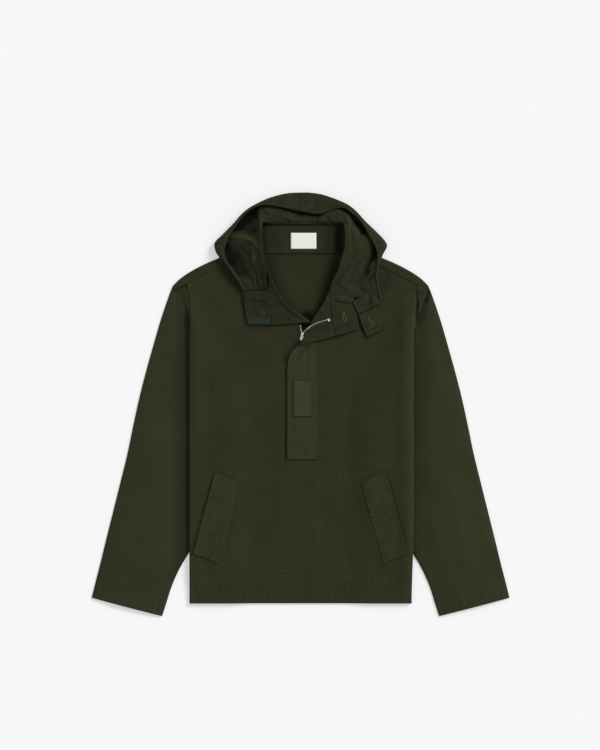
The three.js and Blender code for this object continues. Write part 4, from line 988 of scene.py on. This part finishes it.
# Placket tone: painted shade and highlight of its creases, painted highlight along the turned free edge,
# lighter left of the stitching, a dark ring round the patch's outline and slight random tone.
placket_tone = tone + 0.3 * smooth(36, 22, px) + 0.06 * uneven(px, py, 10, 62)
placket_tone += 0.25 * smooth(3.5, 0.5, from_edge) - 0.6 * smooth(2.6, 0.6, np.abs(around))
placket = cloth_object("placket", placket_grid, DOUBLED, tone=placket_tone)
placket.data.materials.append(outside_cotton)
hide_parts("placket_flap")
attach(placket, "smock")
placket_tree = tree_over(placket_grid, DOUBLED)
placket_sewing = sewn("placket_sewing", [
    [(33.5, 118), (33.5, -107.5), (-25, -107.5)], [(25.6, 118), (25.6, -103.5)],
    [(-24.5, -104), (26, -104)],
    [(-2, 114), (-8, 110), (-14, 103), (-19, 93), (-21, 80), (-21.5, -100)],
    [(-22, -74), (26, -74)], [(9.5, -74), (9.5, -104)]], [placket_tree], thread, seed=13)
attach(placket_sewing, "smock")
patch_grid = laid_grid(PATCH, 24, 14, [placket_tree], raise_by=0.3, thick=PATCH_WALL)
patch = cloth_object("placket_patch", patch_grid, PATCH_WALL)
patch_cloth = olive_cotton("patch_cloth", (0.031, 0.032, 0.014), (0.047, 0.0475, 0.023), weave=0.0009)
patch.data.materials.append(patch_cloth)
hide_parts("placket_label")
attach(patch, "smock")
patch_sewing = sewn("placket_patch_sewing", edge_rows(PATCH, (1.8,)), [tree_over(patch_grid, PATCH_WALL)],
                    thread, pitch=2.4, length=1.8, wobble=0.1, seed=15)
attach(patch_sewing, "smock")

# Turned-out collar pieces.
# Facings of the cotton run down both sides of the neck edge, and the chin flaps and the throat
# strap are sewn on outside them. All lie turned outwards, the facings and flaps inside face up.
COLLARS = {
    # nx, ny, nz, z1, z2, sx, sy, sz
    "neck_facing_right": [
        [-65.6, 266, 25, 24.5, 24, -67.6, 264.5, 23.5], [-62, 258, 24, 23, 22, -66.8, 256, 21],
        [-56, 246, 22, 21, 19.5, -66, 243, 18], [-45.5, 227, 20, 18.5, 17, -65.2, 228, 15.5],
        [-33, 207, 18, 16, 14.5, -63.4, 210, 13.2], [-14, 188, 15, 13, 11.5, -60.6, 190, 10.8],
        [5, 176.5, 12.5, 10.4, 9.4, -58.4, 173.5, 9.2], [21, 164.6, 10, 8.4, 7.8, -57, 158.8, 7.8]],
    "collar_right": [
        [-65.8, 227.8, 15.5, 12.5, 11, -113.6, 227, 9.4], [-64.9, 219, 14.4, 12, 10.4, -114.4, 215, 8.8],
        [-63.2, 204, 12.6, 11.2, 9.6, -112.6, 203, 8.2], [-61, 189, 10.8, 10.2, 8.8, -110.4, 188, 7.6],
        [-58.9, 174, 9.2, 8.8, 8, -108.6, 173, 7], [-57.4, 158.8, 7.8, 7.6, 7, -107, 158.5, 6.4]],
    "neck_facing_left": [
        [56.4, 224.6, 20, 19.6, 19.2, 59, 224.2, 18.8], [49, 209, 18.6, 18, 17.2, 57.8, 210, 16.8],
        [42.6, 197, 17, 16.4, 15.6, 58, 197, 15], [35, 186, 15, 14.6, 13.8, 60, 186, 13.4],
        [29.5, 177, 13, 12.8, 12.2, 62, 174, 12], [24, 168.6, 11, 11.2, 11, 64.4, 160, 10.4],
        [17, 157, 10, 10.2, 10, 66.8, 148, 8.8], [11.6, 149, 9.6, 9.8, 9.8, 68.6, 137.4, 8],
        [8.2, 141, 9.4, 9.6, 9.4, 45, 130.2, 8.2], [4.6, 132, 9.2, 9.5, 9.4, 22, 124, 8.3],
        [-4, 118, 9, 9.3, 9.3, 2, 119, 8.4]],
    "collar_left": [
        [59.8, 224.4, 18.6, 17, 15, 110.5, 217.8, 11.6], [58.6, 209, 16.6, 16, 14.4, 105, 206, 11.4],
        [58.9, 197, 15, 14.6, 13.4, 107, 196.5, 10.6], [60.8, 186, 13.4, 13.2, 12, 110.2, 188, 9.6],
        [62.8, 174, 12, 12, 10.8, 113.4, 178, 8.8], [65.2, 160, 10.4, 10.4, 9.6, 115.4, 164, 8],
        [68.4, 148, 8.8, 8.6, 8, 116.8, 155, 7], [70.4, 137.8, 8, 7.4, 6.8, 117.4, 149.6, 6]],
    "throat_strap": [
        [115, 181, 9.6, 9.6, 9.8, 163, 204.8, 10.4], [109.5, 193, 12.6, 13, 13.2, 150.4, 214.4, 12.8],
        [103.6, 205.6, 14.6, 15, 15, 137.4, 224.4, 15.6]],
}
FLANKED_TO = {"neck_facing_right": 0.94, "neck_facing_left": 0.57}
COLLAR_FOLDS = {
    # x0, y0, x1, y1, half width, rise, tone (painted shade below zero, painted highlight above)
    "neck_facing_right": [[-50, 190, -20, 170, 5, 0.5, 0.04], [-66, 264, -62, 232, 2, -1, -0.3],
                          [-62, 222, -60, 162, 1.8, -0.6, -0.25], [-44, 204, -10, 172, 4, -0.5, -0.1],
                          [-60, 262, -52, 236, 2, 0.8, 0.1]],
    "collar_right": [[-104, 198, -72, 180, 4, 0.9, 0.06], [-100, 186, -68, 196, 4, -0.8, -0.15],
                     [-92, 224, -88, 214, 3, 0.8, 0.06], [-66, 222, -62, 162, 2, -0.6, -0.25],
                     [-96, 202, -84, 176, 5, -0.7, -0.12]],
    "neck_facing_left": [[56, 206, 72, 215, 3, 1, 0.08], [12, 138, 40, 142, 5, 0.7, 0.05],
                         [30, 150, 56, 156, 4, -0.5, -0.12], [52, 222, 20, 168, 2, 0.5, 0.1],
                         [4, 130, 60, 136, 2.2, 0.5, 0.12], [66, 156, 72, 138, 2, -0.8, -0.35]],
    "collar_left": [[66, 205, 102, 202, 2.4, -1.6, -0.4], [70, 212, 100, 208, 4, 1.4, 0.1],
                    [62, 196, 84, 206, 3, 0.8, 0.08], [108, 214, 116, 166, 3, -0.8, -0.5],
                    [70, 222, 106, 216, 3, -1, -0.3], [92, 196, 96, 160, 6, 0.6, 0.05]],
    "throat_strap": [[124, 190, 132, 214, 2.6, 1.2, 0.24], [138, 194, 140, 216, 2.4, -1.3, -0.45],
                     [148, 200, 142, 214, 2.2, 1.0, 0.24], [116, 196, 134, 202, 2.2, -0.8, -0.3],
                     [110, 204, 124, 214, 3, -0.6, -0.3], [116, 182, 162, 206, 2, 0.3, 0.12]],
}
COLLAR_ROWS = {
    "neck_facing_right": [[(-61, 254), (-49, 228), (-36, 206), (-18, 188), (2, 174)],
                          [(-55, 162.5), (12, 168.5)], [(-60.5, 218), (-56.5, 166)]],
    "collar_right": [[(-110.5, 224), (-111.4, 212), (-104, 162), (-60, 162)],
                     [(-67.5, 224), (-61.6, 164)]],
    "neck_facing_left": [[(56, 220), (46, 200), (33, 181), (24, 168)],
                         [(64, 138), (44, 133.5), (22, 127.5), (8, 124)],
                         [(63.5, 156), (66, 140)], [(59.5, 174), (64, 142)]],
    "collar_left": [[(72, 141), (114.5, 152), (112.5, 163), (107, 186)], [(71.4, 145.5), (110, 155.5)],
                    [(64, 173), (72, 141)], [(62, 202), (104, 200)]],
    "throat_strap": edge_rows([(115, 181), (163, 204.8), (137.4, 224.4), (103.6, 205.6)], (3.0,)),
}
COLLAR_STATIONS = 90
COLLAR_ACROSS = 60
collar_trees = {}
for name, table in COLLARS.items():
    s = through(table, np.linspace(0, len(table) - 1, COLLAR_STATIONS))
    near, far, nz = s[:, 0:2], s[:, 5:7], s[:, 2]
    span = far - near
    length = np.linalg.norm(span, axis=1)
    at = np.linspace(0, 1, COLLAR_STATIONS)
    keys = [(np.zeros(COLLAR_STATIONS), nz)]
    if name in FLANKED_TO:
        flank = FLANKED_TO[name]
        turned = 1 - smooth(flank - 0.03, flank + 0.03, at)
        foot = nz + (NECK_FOOT - nz) * turned
        keys = [
            (turned * np.minimum(0.3, NECK_FLANK / length), foot),
            (0.03 + turned * (np.minimum(0.12, 1.4 / length) - 0.03), (foot + nz) / 2),
            (0.07 + turned * (np.minimum(0.06, 0.8 / length) - 0.07), nz),
        ]
    for step, z in ((0.12, nz * 0.98 + 0.02 * s[:, 3]), (0.33, s[:, 3]), (0.66, s[:, 4]), (1.0, s[:, 7])):
        keys.append((np.full(COLLAR_STATIONS, step), z))
    keys = np.array([np.column_stack([near + span * reach[:, None], z]) for reach, z in keys])
    grid = through(keys, np.linspace(0, len(keys) - 1, COLLAR_ACROSS)).swapaxes(0, 1).copy()
    x, y = grid[..., 0], grid[..., 1]
    rise, tone = creases(x, y, COLLAR_FOLDS[name])
    grid[..., 2] += rise + 0.4 * uneven(x, y, 14, 71) + 0.3 * uneven(x, y, 6, 72)
    piece = cloth_object(name + "_cloth", grid, CLOTH, tone=tone - 0.06 + 0.15 * uneven(x, y, 7, 73))
    piece.data.materials.append(inside_cotton if name != "throat_strap" else outside_cotton)
    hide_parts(name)
    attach(piece, "smock")
    collar_trees[name] = tree_over(grid)
    sewing = sewn(name + "_sewing", COLLAR_ROWS[name], [collar_trees[name]], thread, seed=17)
    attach(sewing, "smock")

# Tapes.
# Two short lengths of ribbed teal tape, laid across the right chin flap and sewn down with small
# stitches all round. The upper one is darker.
TAPES = {"tape_upper": [(-112.4, 212), (-67, 205), (-68, 219.6), (-112.9, 225.5)],
         "tape_lower": [(-106.4, 160.4), (-60.4, 160.4), (-61.4, 172.4), (-107.4, 173)]}
TAPE_WALL = 0.8
teal = plain_material("teal_tape", (0.0195, 0.031, 0.0185), 0.85, grain=0.5, scale=700)
# A darker copy of the teal, for the upper tape.
darker_teal = plain_material("teal_tape_darker", (0.0135, 0.021, 0.0125), 0.85, grain=0.5, scale=700)
tape_colours = {"tape_lower": teal, "tape_upper": darker_teal}
for name, corners in TAPES.items():
    grid = laid_grid(corners, 10, 36, [collar_trees["collar_right"]], raise_by=0.35, thick=TAPE_WALL)
    tape = cloth_object(name + "_ribbed", grid, TAPE_WALL)
    tape.data.materials.append(tape_colours[name])
    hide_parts(name)
    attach(tape, "smock")
    sewing = sewn(name + "_sewing", edge_rows(corners, (1.4,)), [tree_over(grid, TAPE_WALL)], teal,
                  pitch=2.6, length=2.0, thick=0.7, wobble=0.1, seed=19)
    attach(sewing, "smock")

# Throat tab.
# A doubled tab of the cotton with a buttonhole. It lies on the chest below the strap and has one
# row of topstitch all round.
TAB = [(131.6, 134.6), (167, 151.6), (148, 199), (113, 184)]
TAB_FOLDS = [
    # x0, y0, x1, y1, half width, rise, tone (painted shade below zero, painted highlight above; the darkest
    # stroke is painted shadow under the strap)
    [114, 181, 148, 197, 3.0, -0.8, -1.1], [126, 168, 132, 150, 3, -0.7, -0.3],
    [120, 178, 134, 182, 3, 0.9, 0.22], [150, 186, 138, 178, 3, 0.7, 0.16],
    [142, 146, 150, 158, 2.4, -0.6, -0.25], [150, 180, 158, 158, 2.4, 0.6, 0.1],
    [120, 174, 146, 186, 3, 0.5, 0.1],
]
tab_grid = laid_grid(TAB, 40, 26, [front_tree], raise_by=0.35, thick=DOUBLED)
tx, ty = tab_grid[..., 0], tab_grid[..., 1]
tab_rise, tab_tone = creases(tx, ty, TAB_FOLDS)
tab_grid[..., 2] += 0.4 * uneven(tx, ty, 12, 81) + tab_rise
tab = cloth_object("throat_tab_piece", tab_grid, DOUBLED, tone=tab_tone + 0.16 * uneven(tx, ty, 7, 82))
tab.data.materials.append(outside_cotton)
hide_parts("throat_tab")
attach(tab, "smock")
tab_tree = tree_over(tab_grid, DOUBLED)
tab_sewing = sewn("throat_tab_sewing", edge_rows(TAB, (3.0,)), [tab_tree], thread, seed=21)
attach(tab_sewing, "smock")

# Buttonholes.
# Two worked keyhole buttonholes, one through the chin flap and one through the tab, each a dark
# slit with a round eye, bound all round in close tan stitches.
BUTTONHOLES = {
    # first end, end with the eye, surfaces under it
    "buttonhole_flap": ((84.6, 184.5), (89.2, 168),
                        [collar_trees["collar_left"], collar_trees["neck_facing_left"]]),
    "buttonhole_tab": ((135.3, 175), (143.3, 159), [tab_tree]),
}
EYE_RADIUS = 2.9
EYE_OVERLAP = 0.7
HALF_SLIT = 0.9
SPOKE = 1.8
buttonhole_thread = plain_material("buttonhole_thread", (0.24, 0.225, 0.13), 0.8, grain=0.3)
slit_shadow = plain_material("slit_shadow", (0.004, 0.004, 0.002), 0.95)
for name, (first, last, trees) in BUTTONHOLES.items():
    first, last = np.array(first), np.array(last)
    along = (last - first) / np.linalg.norm(last - first)
    side = np.array([-along[1], along[0]])
    eye = [last + EYE_RADIUS * (side * math.cos(a) + along * math.sin(a))
           for a in np.linspace(-EYE_OVERLAP, math.pi + EYE_OVERLAP, 13)]
    start = first + side * HALF_SLIT
    bound = [start, *eye, first - side * HALF_SLIT, start]
    spokes = [side * math.cos(a) + along * math.sin(a) for a in np.linspace(0, math.pi, 6)[:-1]]
    binding = sewn(name, [bound], trees, buttonhole_thread, pitch=1.0, length=0.9, thick=0.9,
                   lift=0.4, wobble=0.0, seed=23)
    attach(binding, "smock")
    # Dark rods along the slit and across the eye: painted shadow in the cut.
    dark = [[first, last]] + [[last - SPOKE * v, last + SPOKE * v] for v in spokes]
    slit = sewn(name + "_slit", dark, trees, slit_shadow, pitch=0.5, length=0.8, thick=1.3, lift=0.45,
                wobble=0.0, seed=24)
    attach(slit, "smock")

# Pocket welts.
# Slanted doubled welts of the cotton over the mouths of the pouch pocket. Each is open along its
# outer side, and stitched down in two rows at the inner side and the foot.
WELTS = {"pocket_welt_right": [(-215, -297), (-162, -316), (-123.6, -156.5), (-171, -134.5)],
         "pocket_welt_left": [(165, -316), (214.4, -296.5), (170, -134), (120, -155.5)]}
OPEN_SIDE = {"pocket_welt_right": (3, 0), "pocket_welt_left": (2, 1)}
WELT_WALL = 1.6
WELT_ROWS = {
    "pocket_welt_right": [[(-130, -161), (-168, -312)], [(-135.5, -160), (-173, -311)],
                          [(-211, -294.5), (-165, -311)], [(-210, -290.5), (-166, -306.5)]],
    "pocket_welt_left": [[(126, -160), (169, -312)], [(131.5, -159), (174, -311)],
                         [(210, -294), (168, -311)], [(209, -290), (167, -306.5)]],
}
for name, corners in WELTS.items():
    grid = laid_grid(corners, 90, 28, [front_tree], raise_by=0.25, thick=WELT_WALL)
    x, y = grid[..., 0], grid[..., 1]
    (x0, y0), (x1, y1) = (corners[k] for k in OPEN_SIDE[name])
    length = math.hypot(x1 - x0, y1 - y0)
    off = np.abs((x - x0) * (y1 - y0) - (y - y0) * (x1 - x0)) / length
    along = ((x - x0) * (x1 - x0) + (y - y0) * (y1 - y0)) / length
    pull = np.sin(along * 0.6 + 3.2 * uneven(x, y, 20, 93)) * (0.45 + 0.65 * uneven(x, y, 15, 94))
    pull *= smooth(22, 40, off)
    grid[..., 2] += 1.1 * smooth(9, 0, off) + 0.4 * uneven(x, y, 13, 91) + 0.4 * pull
    grid[..., 2] -= 1.0 * smooth(38, 49, off)
    # Welt tone: painted highlight just inside the open edge, painted shade in the pocket mouth along it,
    # painted light and shade on the puckers, lighter overall, with slight random tone.
    tone = 0.14 + 0.14 * smooth(6, 1, off) - 0.35 * smooth(3, 0, off)
    tone += 0.11 * uneven(x, y, 9, 92) + 0.16 * pull
    welt = cloth_object(name + "_cloth", grid, WELT_WALL, tone=tone)
    welt.data.materials.append(outside_cotton)
    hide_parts(name)
    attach(welt, "smock")
    sewing = sewn(name + "_sewing", WELT_ROWS[name], [tree_over(grid, WELT_WALL)], thread, seed=27)
    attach(sewing, "smock")

# Zip.
# A white-metal zip. Its two open sides are rows of separate teeth that curve away from the slider.
# The closed chain, the end stop, the slider and its pull are the CAD's solids in the same metal.
ZIP_SIDES = {
    # node, line of the teeth, width of the teeth
    "zip_teeth_left": ("zip_side_left", [(3.6, 142), (8.4, 147), (13.8, 151.7), (20, 156.2),
                                         (27, 160.4), (41, 165.4), (55, 169.8)], 2.6),
    "zip_teeth_right": ("zip_side_right", [(2.6, 142.5), (1.2, 148), (0.2, 152), (-0.4, 158)], 2.8),
}
LEAST_TOOTH_Z = 9.0
zip_metal = plain_material("zip_metal", (0.78, 0.76, 0.72), 0.28, metallic=0.75, grain=0.1)
zip_trees = [collar_trees["neck_facing_left"], collar_trees["neck_facing_right"], front_tree]
for name, (node, route, width) in ZIP_SIDES.items():
    teeth = sewn(name, [route], zip_trees, zip_metal, pitch=1.45, length=0.95, thick=width, lift=0.5,
                 wobble=0.0, seed=31, least=LEAST_TOOTH_Z)
    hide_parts(node)
    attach(teeth, "smock")
for name in ("zip_chain", "zip_end_stop", "zip_slider", "zip_pull"):
    for material_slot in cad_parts[name].material_slots:
        material_slot.material = zip_metal
